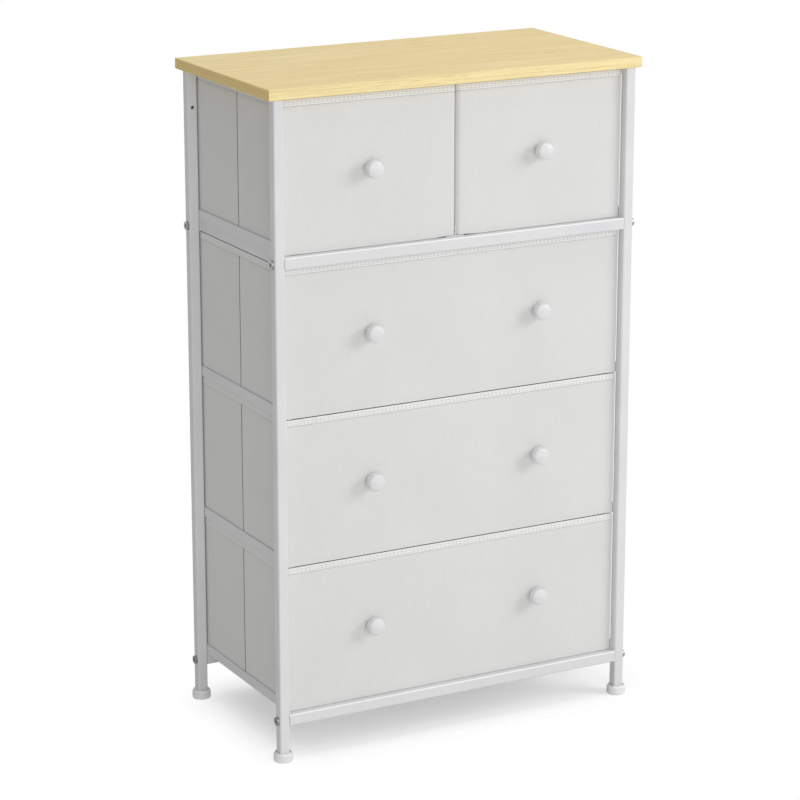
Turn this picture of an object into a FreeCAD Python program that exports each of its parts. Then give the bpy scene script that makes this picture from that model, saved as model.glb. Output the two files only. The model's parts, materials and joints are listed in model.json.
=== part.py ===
import FreeCAD, Part
import math
import os
import re
import Sketcher

# Fabric drawer dresser: steel tube frame, wood-look top, five fabric drawers on folded side rails.
# X runs to the right, Y to the back, Z up. The origin is on the floor, under the middle of the whole.

SIZES = {
    # Top panel
    "panel_width": 580,
    "panel_depth": 300,
    "panel_thick": 15,
    "panel_bevel": 0.8,
    # How far the panel reaches past the posts
    "side_overhang": 8,
    "front_overhang": 3.5,
    "rear_overhang": 7.5,
    # Square tube posts and flat-sided cross rails
    "post_size": 15,
    "post_wall": 1.2,
    "rail_height": 16.5,
    "rail_wall": 1.2,
    "tube_round": 2.2,
    "leg_clear": 52,
    "drawer_pitch": 212,
    "top_gap": 2,
    # Folded sheet: side rails, centre rail and the strips that hold the panel
    "sheet_thick": 1,
    "fold_round": 1,
    "ledge_width": 14,
    "guide_height": 15,
    "rail_setback": 1,
    "skirt_setback": 2,
    "skirt_gap": 0.6,
    "strip_drop": 10,
    "tab_width": 22,
    "tab_short": 2.5,
    # Fabric drawers and the boards inside them
    "drawer_recess": 11,
    "back_gap": 5,
    "side_gap": 0.4,
    "rest_gap": 0.3,
    "head_gap": 0.8,
    "fabric_wall": 3,
    "fabric_floor": 2,
    "fabric_corner": 3,
    "hem_height": 11,
    "hem_proud": 0.4,
    "base_thick": 3,
    "front_board_thick": 4,
    "board_gap": 0.8,
    # Knobs
    "knob_radius": 12.3,
    "knob_length": 22,
    "knob_stem_radius": 6.8,
    "knob_stem_length": 8,
    "knob_crown_height": 4,
    "knob_crown_inset": 3.2,
    "knob_spacing": 265,
    "knob_rise": 3,
    # Round plastic feet, each with a collar round the post
    "foot_height": 11.5,
    "foot_lip": 1.8,
    "foot_collar_wall": 0.95,
    "foot_collar_height": 2,
    "foot_floor": 4,
    "foot_gap": 0.1,
    # Bolt heads with a hexagon socket, and the holes for a wall anchor
    "bolt_head_radius": 6,
    "bolt_head_height": 3.3,
    "key_radius": 2.9,
    "key_depth": 2,
    "anchor_radius": 2.5,
    "anchor_drop": 53,
    # Every through cut runs this far past the metal
    "cut_overrun": 1,
}

HEX_SIDES = 6
HEX_TURN_DEG = 15
STRAIGHT_SHARE = 0.99
TOUCH = 1e-4
# What a dimension holds until its rule takes over
UNSET = 1.0

# Rules that several pieces share, written in the names of the sheet
OUTER_X = "(panel_width / 2 - side_overhang)"
INNER_X = f"({OUTER_X} - post_size)"
KNOB_PROUD = "(knob_length - drawer_recess - front_overhang)"
PANEL_FRONT = f"(({KNOB_PROUD} - panel_depth) / 2)"
FRONT_Y = f"({PANEL_FRONT} + front_overhang)"
REAR_Y = f"({PANEL_FRONT} + panel_depth - rear_overhang)"
REAR_POST_Y = f"({REAR_Y} - post_size)"
DRAWER_Y = f"({FRONT_Y} + drawer_recess)"
DRAWER_DEPTH = f"({REAR_Y} - back_gap - {DRAWER_Y})"
DRAWER_HEIGHT = "(drawer_pitch - sheet_thick - rest_gap - head_gap)"
DRAWER_HALF = f"({INNER_X} - sheet_thick - side_gap - hem_proud)"
CENTRE_HALF = "(sheet_thick / 2 + side_gap + hem_proud)"
WIDE_DRAWER = f"(2 * {DRAWER_HALF})"
NARROW_DRAWER = f"({DRAWER_HALF} - {CENTRE_HALF})"
LOWER_LEVEL = "(leg_clear + rail_height)"
THIRD_LEVEL = f"({LOWER_LEVEL} + drawer_pitch)"
SECOND_LEVEL = f"({LOWER_LEVEL} + 2 * drawer_pitch)"
UPPER_LEVEL = f"({LOWER_LEVEL} + 3 * drawer_pitch + rail_height)"
UNDERSIDE = f"({UPPER_LEVEL} + drawer_pitch + top_gap)"
SIDE_RAIL_Y = f"({DRAWER_Y} + rail_setback)"
SIDE_RAIL_LENGTH = f"({REAR_Y} - rail_setback - {SIDE_RAIL_Y})"
TAB_HEIGHT = "(rail_height - tab_short)"
FRONT_TAB_Y = f"({FRONT_Y} + post_size - {SIDE_RAIL_Y})"
REAR_TAB_Y = f"({REAR_POST_Y} - {SIDE_RAIL_Y})"
FOOT_COLLAR = "((post_size / 2 + foot_gap) * sqrt(2) + foot_collar_wall)"

doc = FreeCAD.newDocument("fabric_drawer_dresser")
sheet = doc.addObject("Spreadsheet::Sheet", "Sizes")
for row, (alias, number) in enumerate(SIZES.items(), 1):
    sheet.set(f"A{row}", alias)
    sheet.set(f"B{row}", str(number))
    sheet.setAlias(f"B{row}", alias)
doc.recompute()

pieces = []


def link(target, prop, rule):
    """Binds a property to a rule written in the sheet's names."""
    linked = re.sub(r"[a-z_]+", lambda word: f"Sizes.{word[0]}" if word[0] in SIZES else word[0], rule)
    target.setExpression(prop, linked)


def place(target, x="0", y="0", z="0", turn=None):
    """Places an object by three rules, after an optional turn given as an axis and degrees."""
    if turn:
        rotation = FreeCAD.Rotation(FreeCAD.Vector(*turn[0]), turn[1])
        target.Placement = FreeCAD.Placement(FreeCAD.Vector(), rotation)
    for axis, rule in zip("xyz", (x, y, z)):
        link(target, f"Placement.Base.{axis}", rule)
    return target


def keep(target, node):
    """Marks an object as a finished piece under its node name."""
    target.Label = node
    pieces.append(target)
    return target


def new_body(name):
    return doc.addObject("PartDesign::Body", name)


def new_sketch(body, role, lift):
    """A sketch on one of the body's own planes, lifted along the plane's normal."""
    sketch = body.newObject("Sketcher::SketchObject", f"{body.Name}_sketch")
    plane = [item for item in body.Origin.OriginFeatures if item.Role == role][0]
    sketch.AttachmentSupport = (plane, [""])
    sketch.MapMode = "FlatFace"
    link(sketch, "AttachmentOffset.Base.z", lift)
    return sketch


def pin_point(sketch, item, point, x, y):
    """Holds a point of a sketch at two rules, or on an axis where a rule is zero."""
    for kind, rule, axis in (("DistanceX", x, -2), ("DistanceY", y, -1)):
        if rule == "0":
            sketch.addConstraint(Sketcher.Constraint("PointOnObject", item, point, axis))
        else:
            index = sketch.addConstraint(Sketcher.Constraint(kind, -1, 1, item, point, UNSET))
            link(sketch, f"Constraints[{index}]", rule)


def add_outline(sketch, points):
    """Draws a closed outline through points given as pairs of rules."""
    first = sketch.GeometryCount
    count = len(points)
    turns = [2 * math.pi * step / count for step in range(count)]
    corners = [FreeCAD.Vector(math.cos(turn), math.sin(turn), 0) for turn in turns]
    for step in range(count):
        sketch.addGeometry(Part.LineSegment(corners[step], corners[(step + 1) % count]))
    for step in range(count):
        following = first + (step + 1) % count
        sketch.addConstraint(Sketcher.Constraint("Coincident", first + step, 2, following, 1))
    for step, (x, y) in enumerate(points):
        pin_point(sketch, first + step, 1, x, y)


def add_circle(sketch, x, y, radius):
    """Draws a circle whose centre and radius follow rules."""
    centre_guess = FreeCAD.Vector(UNSET, UNSET, 0)
    item = sketch.addGeometry(Part.Circle(centre_guess, FreeCAD.Vector(0, 0, 1), UNSET))
    index = sketch.addConstraint(Sketcher.Constraint("Radius", item, UNSET))
    link(sketch, f"Constraints[{index}]", radius)
    pin_point(sketch, item, 3, x, y)


def rectangle(x_low, y_low, x_high, y_high):
    return [(x_low, y_low), (x_high, y_low), (x_high, y_high), (x_low, y_high)]


def pad(body, role, outlines, length, lift="0", reverse=False):
    """Raises outlines by a length along the plane's normal, or against it."""
    sketch = new_sketch(body, role, lift)
    for points in outlines:
        add_outline(sketch, points)
    feature = body.newObject("PartDesign::Pad", f"{body.Name}_pad")
    feature.Profile = sketch
    feature.Reversed = reverse
    link(feature, "Length", length)
    doc.recompute()


def pocket(body, role, outlines=(), circles=(), depth=None, lift="0", reverse=False):
    """Cuts outlines and circles: to a depth against the normal, or right through where none is given."""
    before = body.Shape.Volume
    sketch = new_sketch(body, role, lift)
    for points in outlines:
        add_outline(sketch, points)
    for x, y, radius in circles:
        add_circle(sketch, x, y, radius)
    feature = body.newObject("PartDesign::Pocket", f"{body.Name}_pocket")
    feature.Profile = sketch
    feature.Reversed = reverse
    if depth:
        link(feature, "Length", depth)
    else:
        feature.Type = "ThroughAll"
        feature.Midplane = True
    doc.recompute()
    if not body.Shape.Volume < before:
        raise RuntimeError(f"{feature.Name} cuts nothing")


def dress(body, kind, pick, size):
    """Rounds or bevels the edges that a rule picks from the body's last feature."""
    base = body.Tip
    picked = pick(base.Shape)
    names = [f"Edge{number}" for number, edge in enumerate(base.Shape.Edges, 1)
             if any(edge.isSame(wanted) for wanted in picked)]
    feature = body.newObject(f"PartDesign::{kind}", f"{body.Name}_{kind.lower()}")
    feature.Base = (base, names)
    link(feature, "Radius" if kind == "Fillet" else "Size", size)
    doc.recompute()


def along(axis):
    """Picks straight edges that run along an axis, 0 to 2."""
    def runs(edge):
        straight = edge.Curve.TypeId == "Part::GeomLine"
        return straight and abs(edge.tangentAt(edge.FirstParameter)[axis]) > STRAIGHT_SHARE
    return lambda shape: [edge for edge in shape.Edges if runs(edge)]


def sides_touched(edge, shape):
    """Counts the sides of the shape's box that an edge lies on."""
    own, whole = edge.BoundBox, shape.BoundBox
    low = (own.XMax - whole.XMin, own.YMax - whole.YMin, own.ZMax - whole.ZMin)
    high = (whole.XMax - own.XMin, whole.YMax - own.YMin, whole.ZMax - own.ZMin)
    return sum(margin < TOUCH for margin in low + high)


def outer_corners(axis):
    """Picks the edges along an axis where two outer sides meet."""
    return lambda shape: [edge for edge in along(axis)(shape) if sides_touched(edge, shape) > 1]


def fold_edge(shape):
    """Picks the outer edge of a folded section, which lies on the body's own Y axis."""
    return [edge for edge in along(1)(shape)
            if abs(edge.CenterOfMass.x) < TOUCH and abs(edge.CenterOfMass.z) < TOUCH]


def all_edges(shape):
    return shape.Edges


def turned(name, points):
    """A piece turned about its own Z from half of its section."""
    body = new_body(name)
    sketch = new_sketch(body, "XZ_Plane", "0")
    add_outline(sketch, points)
    feature = body.newObject("PartDesign::Revolution", f"{name}_turn")
    feature.Profile = sketch
    feature.ReferenceAxis = (sketch, ["V_Axis"])
    feature.Angle = 360
    doc.recompute()
    return body


def mirrored(source, node):
    """The right-hand twin of a left-hand piece."""
    twin = doc.addObject("Part::Mirroring", node)
    twin.Source = source
    twin.Normal = FreeCAD.Vector(1, 0, 0)
    twin.Base = FreeCAD.Vector(0, 0, 0)
    return keep(twin, node)


def group(node, members):
    """One node for a set of like fasteners, each a solid of its own."""
    together = doc.addObject("Part::Compound", node)
    together.Links = members
    return keep(together, node)


# Top panel: laminated board with eased edges
panel = keep(new_body("top_panel"), "top_panel")
panel_outline = rectangle("-panel_width / 2", PANEL_FRONT, "panel_width / 2", f"{PANEL_FRONT} + panel_depth")
pad(panel, "XY_Plane", [panel_outline], "panel_thick")
dress(panel, "Chamfer", all_edges, "panel_bevel")
place(panel, z=UNDERSIDE)


def make_post(name, y, anchored):
    """A left-hand post: a rounded square tube, with an anchor hole at the rear."""
    body = keep(new_body(name), name)
    outline = rectangle("0", "0", "post_size", "post_size")
    pad(body, "XY_Plane", [outline], f"{UNDERSIDE} - foot_floor", lift="foot_floor")
    dress(body, "Fillet", along(2), "tube_round")
    inner = "post_size - post_wall"
    pocket(body, "XY_Plane", [rectangle("post_wall", "post_wall", inner, inner)])
    if anchored:
        pocket(body, "XZ_Plane", circles=[("post_size / 2", f"{UNDERSIDE} - anchor_drop", "anchor_radius")])
    return place(body, f"-{OUTER_X}", y)


mirrored(make_post("post_front_left", FRONT_Y, False), "post_front_right")
mirrored(make_post("post_rear_left", REAR_POST_Y, True), "post_rear_right")


def make_foot(name, y):
    """A round foot with a raised collar and a square socket for the post."""
    radius = f"{FOOT_COLLAR} + foot_lip"
    top = "foot_height + foot_collar_height"
    body = turned(name, [("0", "0"), (radius, "0"), (radius, "foot_height"), (FOOT_COLLAR, "foot_height"),
                         (FOOT_COLLAR, top), ("0", top)])
    half = "(post_size / 2 + foot_gap)"
    socket = rectangle(f"-{half}", f"-{half}", half, half)
    pocket(body, "XY_Plane", [socket], depth=f"{top} - foot_floor", lift=top)
    return place(keep(body, name), f"-{OUTER_X} + post_size / 2", f"{y} + post_size / 2")


mirrored(make_foot("foot_front_left", FRONT_Y), "foot_front_right")
mirrored(make_foot("foot_rear_left", REAR_POST_Y), "foot_rear_right")


def make_cross_rail(name, y, level):
    """A tube between two posts, with its top at its level."""
    body = keep(new_body(name), name)
    pad(body, "YZ_Plane", [rectangle("0", "-rail_height", "post_size", "0")], f"2 * {INNER_X}")
    dress(body, "Fillet", along(0), "tube_round")
    bore = rectangle("rail_wall", "-rail_height + rail_wall", "post_size - rail_wall", "-rail_wall")
    pocket(body, "YZ_Plane", [bore])
    return place(body, f"-{INNER_X}", y, level)


make_cross_rail("upper_front_rail", FRONT_Y, UPPER_LEVEL)
make_cross_rail("upper_rear_rail", REAR_POST_Y, UPPER_LEVEL)
make_cross_rail("lower_front_rail", FRONT_Y, LOWER_LEVEL)
make_cross_rail("lower_rear_rail", REAR_POST_Y, LOWER_LEVEL)


def make_side_rail(name, level, skirted):
    """A folded rail on the left: a ledge that carries the drawer and a flange that guides it.

    The upper rail also has a skirt below, which closes the gap beside the cross rails.
    """
    body = keep(new_body(name), name)
    section = [("ledge_width", "0"), ("ledge_width", "sheet_thick"), ("sheet_thick", "sheet_thick"),
               ("sheet_thick", "guide_height"), ("0", "guide_height"), ("0", "0")]
    if skirted:
        foot = "-rail_height + skirt_gap"
        inner = "skirt_setback + sheet_thick"
        section += [("skirt_setback", "0"), ("skirt_setback", foot), (inner, foot), (inner, "0")]
    pad(body, "XZ_Plane", [section], SIDE_RAIL_LENGTH, reverse=True)
    dress(body, "Fillet", fold_edge, "fold_round")
    if skirted:
        below = "-rail_height - cut_overrun"
        front_cut = rectangle("-cut_overrun", below, f"{FRONT_TAB_Y} + skirt_gap", "0")
        rear_cut = rectangle(f"{REAR_TAB_Y} - skirt_gap", below, f"{SIDE_RAIL_LENGTH} + cut_overrun", "0")
        pocket(body, "YZ_Plane", [front_cut, rear_cut])
    return place(body, f"-{INNER_X}", SIDE_RAIL_Y, level)


LEVELS = {"upper": UPPER_LEVEL, "second": SECOND_LEVEL, "third": THIRD_LEVEL, "lower": LOWER_LEVEL}
for tier, level in LEVELS.items():
    left_rail = make_side_rail(f"{tier}_side_rail_left", level, tier == "upper")
    mirrored(left_rail, f"{tier}_side_rail_right")

# Strips under the panel, folded down between the posts
strip = keep(new_body("top_strip_left"), "top_strip_left")
strip_section = [("0", "0"), ("0", "-strip_drop"), ("sheet_thick", "-strip_drop"),
                 ("sheet_thick", "-sheet_thick"), ("ledge_width", "-sheet_thick"), ("ledge_width", "0")]
pad(strip, "XZ_Plane", [strip_section], SIDE_RAIL_LENGTH, reverse=True)
dress(strip, "Fillet", fold_edge, "fold_round")
place(strip, f"-{INNER_X}", SIDE_RAIL_Y, UNDERSIDE)
mirrored(strip, "top_strip_right")

# Centre rail under the two small drawers: a tee whose end tabs hook over the cross rails
centre = keep(new_body("centre_rail"), "centre_rail")
half_web = "sheet_thick / 2"
tee_half = [("ledge_width", "0"), ("ledge_width", "sheet_thick"), (half_web, "sheet_thick"),
            (half_web, "guide_height")]
tee_section = tee_half + [(f"-{x}", z) for x, z in reversed(tee_half)]
pad(centre, "XZ_Plane", [tee_section], SIDE_RAIL_LENGTH, reverse=True)
tab = rectangle("-tab_width / 2", f"-{TAB_HEIGHT}", "tab_width / 2", half_web)
pad(centre, "XZ_Plane", [tab], "sheet_thick", lift=f"-{FRONT_TAB_Y}", reverse=True)
pad(centre, "XZ_Plane", [tab], "sheet_thick", lift=f"-{REAR_TAB_Y}")
place(centre, "0", SIDE_RAIL_Y, UPPER_LEVEL)


def make_bolt_head(x, y, z, turn_deg):
    """The head of a bolt that pulls a cross rail against a post, with a hexagon socket."""
    body = turned("frame_bolt", rectangle("0", "0", "bolt_head_radius", "bolt_head_height"))
    turns = [HEX_TURN_DEG + 360 * step / HEX_SIDES for step in range(HEX_SIDES)]
    hexagon = [(f"key_radius * cos({turn})", f"key_radius * sin({turn})") for turn in turns]
    pocket(body, "XY_Plane", [hexagon], depth="key_depth", lift="bolt_head_height")
    return place(body, x, y, z, ((0, 1, 0), turn_deg))


joints = [(y, level) for y in (FRONT_Y, REAR_POST_Y) for level in (LOWER_LEVEL, UPPER_LEVEL)]
bolts = [make_bolt_head(x, f"{y} + post_size / 2", f"{level} - rail_height / 2", turn_deg)
         for x, turn_deg in ((f"-{OUTER_X}", -90), (OUTER_X, 90)) for y, level in joints]
group("frame_bolts", bolts)


def make_knob(node, x, z):
    """A knob on the drawer's front: a stem, a wider head and a crown that draws in towards its face."""
    shoulder = "knob_length - knob_crown_height"
    face_radius = "knob_radius - knob_crown_inset"
    knob = turned(node, [("0", "0"), ("knob_stem_radius", "0"), ("knob_stem_radius", "knob_stem_length"),
                         ("knob_radius", "knob_stem_length"), ("knob_radius", shoulder),
                         (face_radius, "knob_length"), ("0", "knob_length")])
    return place(keep(knob, node), x, DRAWER_Y, z, ((1, 0, 0), 90))


def make_fabric_box(node, width):
    """A sewn box, open at the top: rounded walls, a floor, and a hem that stands proud round the rim."""
    body = keep(new_body(node), node)
    pad(body, "XY_Plane", [rectangle("0", "0", width, DRAWER_DEPTH)], DRAWER_HEIGHT)
    dress(body, "Fillet", along(2), "fabric_corner")
    hollow = rectangle("fabric_wall", "fabric_wall",
                       f"{width} - fabric_wall", f"{DRAWER_DEPTH} - fabric_wall")
    pocket(body, "XY_Plane", [hollow], depth=f"{DRAWER_HEIGHT} - fabric_floor", lift=DRAWER_HEIGHT)
    hem = rectangle("-hem_proud", "-hem_proud", f"{width} + hem_proud", f"{DRAWER_DEPTH} + hem_proud")
    pad(body, "XY_Plane", [hem, hollow], "hem_height", lift=f"{DRAWER_HEIGHT} - hem_height")
    dress(body, "Fillet", outer_corners(2), "fabric_corner + hem_proud")
    return body


def make_front_board(node, width):
    """A stiff board behind the front wall, below the hem, that the knobs are fixed to."""
    body = keep(new_body(node), node)
    side = "(fabric_wall + board_gap)"
    outline = rectangle(side, "fabric_floor", f"{width} - {side}", f"{DRAWER_HEIGHT} - hem_height")
    pad(body, "XZ_Plane", [outline], "front_board_thick", lift="-fabric_wall", reverse=True)
    return body


def make_base_board(node, width):
    """A loose board that stiffens the drawer's floor."""
    body = keep(new_body(node), node)
    side = "(fabric_wall + board_gap)"
    front = f"{side} + front_board_thick"
    outline = rectangle(side, front, f"{width} - {side}", f"{DRAWER_DEPTH} - {side}")
    pad(body, "XY_Plane", [outline], "base_thick", lift="fabric_floor")
    return body


def make_drawer(name, low_x, width, level, knobs):
    """One drawer: sewn box, two boards and knobs.

    knobs gives each knob's node ending and its place across the drawer, from the drawer's left side.
    """
    floor_z = f"({level} + sheet_thick + rest_gap)"
    knob_z = f"{floor_z} + {DRAWER_HEIGHT} / 2 + knob_rise"
    place(make_fabric_box(f"{name}_fabric_box", width), low_x, DRAWER_Y, floor_z)
    place(make_front_board(f"{name}_front_board", width), low_x, DRAWER_Y, floor_z)
    place(make_base_board(f"{name}_base_board", width), low_x, DRAWER_Y, floor_z)
    for ending, x in knobs:
        make_knob(f"{name}_{ending}", f"{low_x} + {x}", knob_z)


one_knob = [("knob", f"{NARROW_DRAWER} / 2")]
two_knobs = [("knob_left", f"({DRAWER_HALF} - knob_spacing / 2)"),
             ("knob_right", f"({DRAWER_HALF} + knob_spacing / 2)")]
make_drawer("top_left_drawer", f"-{DRAWER_HALF}", NARROW_DRAWER, UPPER_LEVEL, one_knob)
make_drawer("top_right_drawer", CENTRE_HALF, NARROW_DRAWER, UPPER_LEVEL, one_knob)
make_drawer("upper_drawer", f"-{DRAWER_HALF}", WIDE_DRAWER, SECOND_LEVEL, two_knobs)
make_drawer("middle_drawer", f"-{DRAWER_HALF}", WIDE_DRAWER, THIRD_LEVEL, two_knobs)
make_drawer("lower_drawer", f"-{DRAWER_HALF}", WIDE_DRAWER, LOWER_LEVEL, two_knobs)

doc.recompute()
for item in doc.Objects:
    if "Invalid" in item.State or "Error" in item.State:
        raise RuntimeError(f"{item.Label} failed: {item.State}")
for piece in pieces:
    if piece.Shape.isNull() or not piece.Shape.isValid() or not piece.Shape.Solids:
        raise RuntimeError(f"{piece.Label} has no sound solid")

os.makedirs("parts", exist_ok=True)
for piece in pieces:
    piece.Shape.exportStep(f"parts/{piece.Label}.step")
print(len(pieces), "pieces written")
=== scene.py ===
"""Looks of a five-drawer fabric dresser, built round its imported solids.

The steel frame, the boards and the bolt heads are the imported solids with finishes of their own. The sewn
drawers, their stitching, sleeves and screws, the knobs and the feet are modelled here; the boxes, knobs and
feet stand for their plain solids. Metres throughout, X to the right, Y to the back, Z up.
"""

import json
import logging
import math
from bisect import bisect_right
from collections.abc import Callable, Sequence
from dataclasses import dataclass, field, replace
from enum import Enum
from functools import cache
from typing import Protocol

import bpy
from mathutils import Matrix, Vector, noise

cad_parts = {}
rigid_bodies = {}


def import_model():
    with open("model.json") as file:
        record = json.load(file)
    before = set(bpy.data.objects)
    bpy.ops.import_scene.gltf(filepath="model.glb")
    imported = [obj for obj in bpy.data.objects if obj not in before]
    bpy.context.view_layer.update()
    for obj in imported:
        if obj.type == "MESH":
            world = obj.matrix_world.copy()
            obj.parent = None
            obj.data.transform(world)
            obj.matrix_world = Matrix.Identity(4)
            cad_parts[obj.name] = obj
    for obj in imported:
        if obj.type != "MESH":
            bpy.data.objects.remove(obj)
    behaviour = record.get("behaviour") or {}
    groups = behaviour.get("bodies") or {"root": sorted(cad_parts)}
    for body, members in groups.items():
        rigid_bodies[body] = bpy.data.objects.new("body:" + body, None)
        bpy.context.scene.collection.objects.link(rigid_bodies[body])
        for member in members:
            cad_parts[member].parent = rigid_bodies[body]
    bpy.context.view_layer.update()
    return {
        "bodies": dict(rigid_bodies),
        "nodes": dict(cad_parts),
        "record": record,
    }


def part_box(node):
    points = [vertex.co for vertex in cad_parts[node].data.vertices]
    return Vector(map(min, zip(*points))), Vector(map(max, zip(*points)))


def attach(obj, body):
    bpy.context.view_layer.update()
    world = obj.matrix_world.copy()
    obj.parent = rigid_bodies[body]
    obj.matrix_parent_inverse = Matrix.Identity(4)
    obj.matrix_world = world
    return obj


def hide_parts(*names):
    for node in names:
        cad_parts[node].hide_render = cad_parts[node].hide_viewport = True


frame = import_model()

log = logging.getLogger("dresser")

Pair = tuple[float, float]
Triple = tuple[float, float, float]
Point = Triple
Colour = tuple[float, float, float, float]
Piece = bpy.types.Object
Material = bpy.types.Material
Socket = bpy.types.NodeSocket
Wire = Socket | float | Point | Colour

FULL_TURN = 2.0 * math.pi
WHITE: Colour = (1.0, 1.0, 1.0, 1.0)

# A smooth piece's edges stay crisp where they turn by more than this
SHARP_DEG = 38.0


def mm(length: float) -> float:
    """Turns millimetres into metres."""
    return length / 1000.0


def tone(red: int, green: int, blue: int) -> Colour:
    """Turns a colour in steps of 0 to 255 into light values.

    Args:
        red: Red step.
        green: Green step.
        blue: Blue step.

    Returns:
        The colour as linear red, green, blue and a full alpha.
    """
    shares = [step / 255.0 for step in (red, green, blue)]
    light = [share / 12.92 if share <= 0.04045 else ((share + 0.055) / 1.055) ** 2.4 for share in shares]
    return (light[0], light[1], light[2], 1.0)


def ease(low: float, high: float, value: float) -> float:
    """Rises smoothly from 0 at low to 1 at high."""
    share = min(max((value - low) / (high - low), 0.0), 1.0)
    return share * share * (3.0 - 2.0 * share)


def sign(value: float) -> float:
    """Gives 1, 0 or -1 for a number over, at or under zero."""
    return float((value > 0.0) - (value < 0.0))


# Two rows of stitches run round each hem, at these rises over its lower edge
STITCH_PITCH = mm(6.3)
STITCH_LENGTH = mm(4.4)
STITCH_ROWS = (mm(2.6), mm(5.8))

# Most of a cloud's numbers lie in this span
CLOUD_MIDDLE: Pair = (0.3, 0.7)


# Finishes


def even(scale: float) -> Triple:
    """Gives a scale that is the same in all three directions."""
    return (scale, scale, scale)


@dataclass(frozen=True)
class Grain:
    """Soft clouds: how many to a metre each way, how many finer layers, and how strong these are."""

    scale: Triple
    detail: float = 3.0
    rough: float = 0.5


class Wiring:
    """The nodes of a material, or of the surroundings, while they are being wired."""

    edge_samples: int = 4
    edge_agreement: Pair = (0.99, 0.86)
    bend_start: Pair = (0.2, 0.6)
    bend_end: Pair = (0.98, 0.85)

    def __init__(self, owner: Material | bpy.types.World) -> None:
        """Starts with no nodes.

        Args:
            owner: The material or the surroundings that the nodes belong to.
        """
        owner.use_nodes = True
        self.owner = owner
        self.tree = owner.node_tree
        self.tree.nodes.clear()

    def add(self, kind: str, inputs: dict[str | int, Wire], **settings: object) -> bpy.types.Node:
        """Adds a shader node.

        Args:
            kind: The node's kind, without its common first words.
            inputs: A wire or a plain value for each named or numbered input.
            settings: Values for the node's own properties.

        Returns:
            The new node.
        """
        node = self.tree.nodes.new(f"ShaderNode{kind}")
        for key, value in settings.items():
            setattr(node, key, value)
        for key, value in inputs.items():
            if isinstance(value, Socket):
                self.tree.links.new(value, node.inputs[key])
            else:
                node.inputs[key].default_value = value
        return node

    def place(self) -> Socket:
        """Gives the place on the piece, in metres."""
        return self.add("TexCoord", {}).outputs["Object"]

    def cloth_place(self) -> Socket:
        """Gives the place along and up the cloth, in metres."""
        return self.add("UVMap", {}, uv_map="cloth").outputs["UV"]

    def facing(self) -> Socket:
        """Gives the direction that the surface faces."""
        return self.add("NewGeometry", {}).outputs["Normal"]

    def parts(self, vector: Wire) -> tuple[Socket, Socket, Socket]:
        """Splits a place or a direction into its three numbers."""
        outputs = self.add("SeparateXYZ", {0: vector}).outputs
        return outputs[0], outputs[1], outputs[2]

    def joined(self, x: Wire, y: Wire, z: Wire) -> Socket:
        """Joins three numbers into a place."""
        return self.add("CombineXYZ", {0: x, 1: y, 2: z}).outputs[0]

    def math(self, operation: str, first: Wire, second: Wire = 0.0) -> Socket:
        """Joins two numbers by an operation."""
        return self.add("Math", {0: first, 1: second}, operation=operation).outputs[0]

    def product(self, first: Wire, second: Wire) -> Socket:
        """Multiplies two numbers."""
        return self.math("MULTIPLY", first, second)

    def length(self, across: Wire, up: Wire) -> Socket:
        """Gives how long two numbers at right angles are together."""
        squares = [self.math("POWER", number, 2.0) for number in (across, up)]
        return self.math("SQRT", self.math("ADD", *squares))

    def clouds(self, vector: Wire, grain: Grain) -> Socket:
        """Gives soft clouds from 0 to 1.

        Args:
            vector: Where the clouds are read.
            grain: Their size and strength.

        Returns:
            The clouds' number.
        """
        stretched = self.add("Mapping", {"Vector": vector, "Scale": grain.scale}).outputs[0]
        inputs = {"Vector": stretched, "Scale": 1.0, "Detail": grain.detail, "Roughness": grain.rough}
        return self.add("TexNoise", inputs).outputs[0]

    def span(self, value: Wire, low: float, high: float, to_low: float = 0.0, to_high: float = 1.0) -> Socket:
        """Stretches a number from one span to another, and holds it there."""
        inputs = {"Value": value, 1: low, 2: high, 3: to_low, 4: to_high}
        return self.add("MapRange", inputs, clamp=True).outputs[0]

    def blend(self, share: Wire, first: Wire, second: Wire, strength: float = 1.0) -> Socket:
        """Mixes two colours by a share, or by part of it."""
        part = share if strength == 1.0 else self.product(share, strength)
        return self.add("Mix", {0: part, 6: first, 7: second}, data_type="RGBA").outputs[2]

    def bump(self, height: Wire, strength: float, depth: float, below: Wire | None = None) -> Socket:
        """Turns a height into a bump.

        Args:
            height: The height from 0 to 1.
            strength: How much of the bump shows.
            depth: How deep a height of 1 is, in metres.
            below: A bump that this one lies on.

        Returns:
            The bump's normal.
        """
        inputs: dict[str | int, Wire] = {"Height": height, "Strength": strength, "Distance": depth}
        if below is not None:
            inputs["Normal"] = below
        return self.add("Bump", inputs).outputs[0]

    def edges(self, width: float) -> Socket:
        """Marks the piece's sharp edges.

        Args:
            width: How far from an edge the mark reaches.

        Returns:
            A number that is 1 along the edges and 0 on the faces.
        """
        rounded = self.add("Bevel", {"Radius": width}, samples=self.edge_samples).outputs[0]
        compared = self.add("VectorMath", {0: rounded, 1: self.facing()}, operation="DOT_PRODUCT")
        return self.span(compared.outputs["Value"], *self.edge_agreement)

    def painted_highlight_bends(self) -> Socket:
        """Marks where a painted highlight goes: 1 on rounded corners that face up and 0 on flats and on other
        corners.
        """
        up = self.parts(self.facing())[2]
        return self.product(self.span(up, *self.bend_start), self.span(up, *self.bend_end))

    def surface(self, inputs: dict[str | int, Wire]) -> Material:
        """Closes a material's wiring with the main shader.

        Args:
            inputs: A wire or a plain value for each of the shader's inputs.

        Returns:
            The finished material.
        """
        shader = self.add("BsdfPrincipled", inputs)
        self.add("OutputMaterial", {"Surface": shader.outputs[0]})
        return self.owner


class Finish(Protocol):
    """What every finish can do.

    Where a finish has them, a span is the part of a number that shows, and a bump is a strength and a depth.
    """

    def material(self) -> Material:
        """Wires the finish up as a material."""


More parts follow.
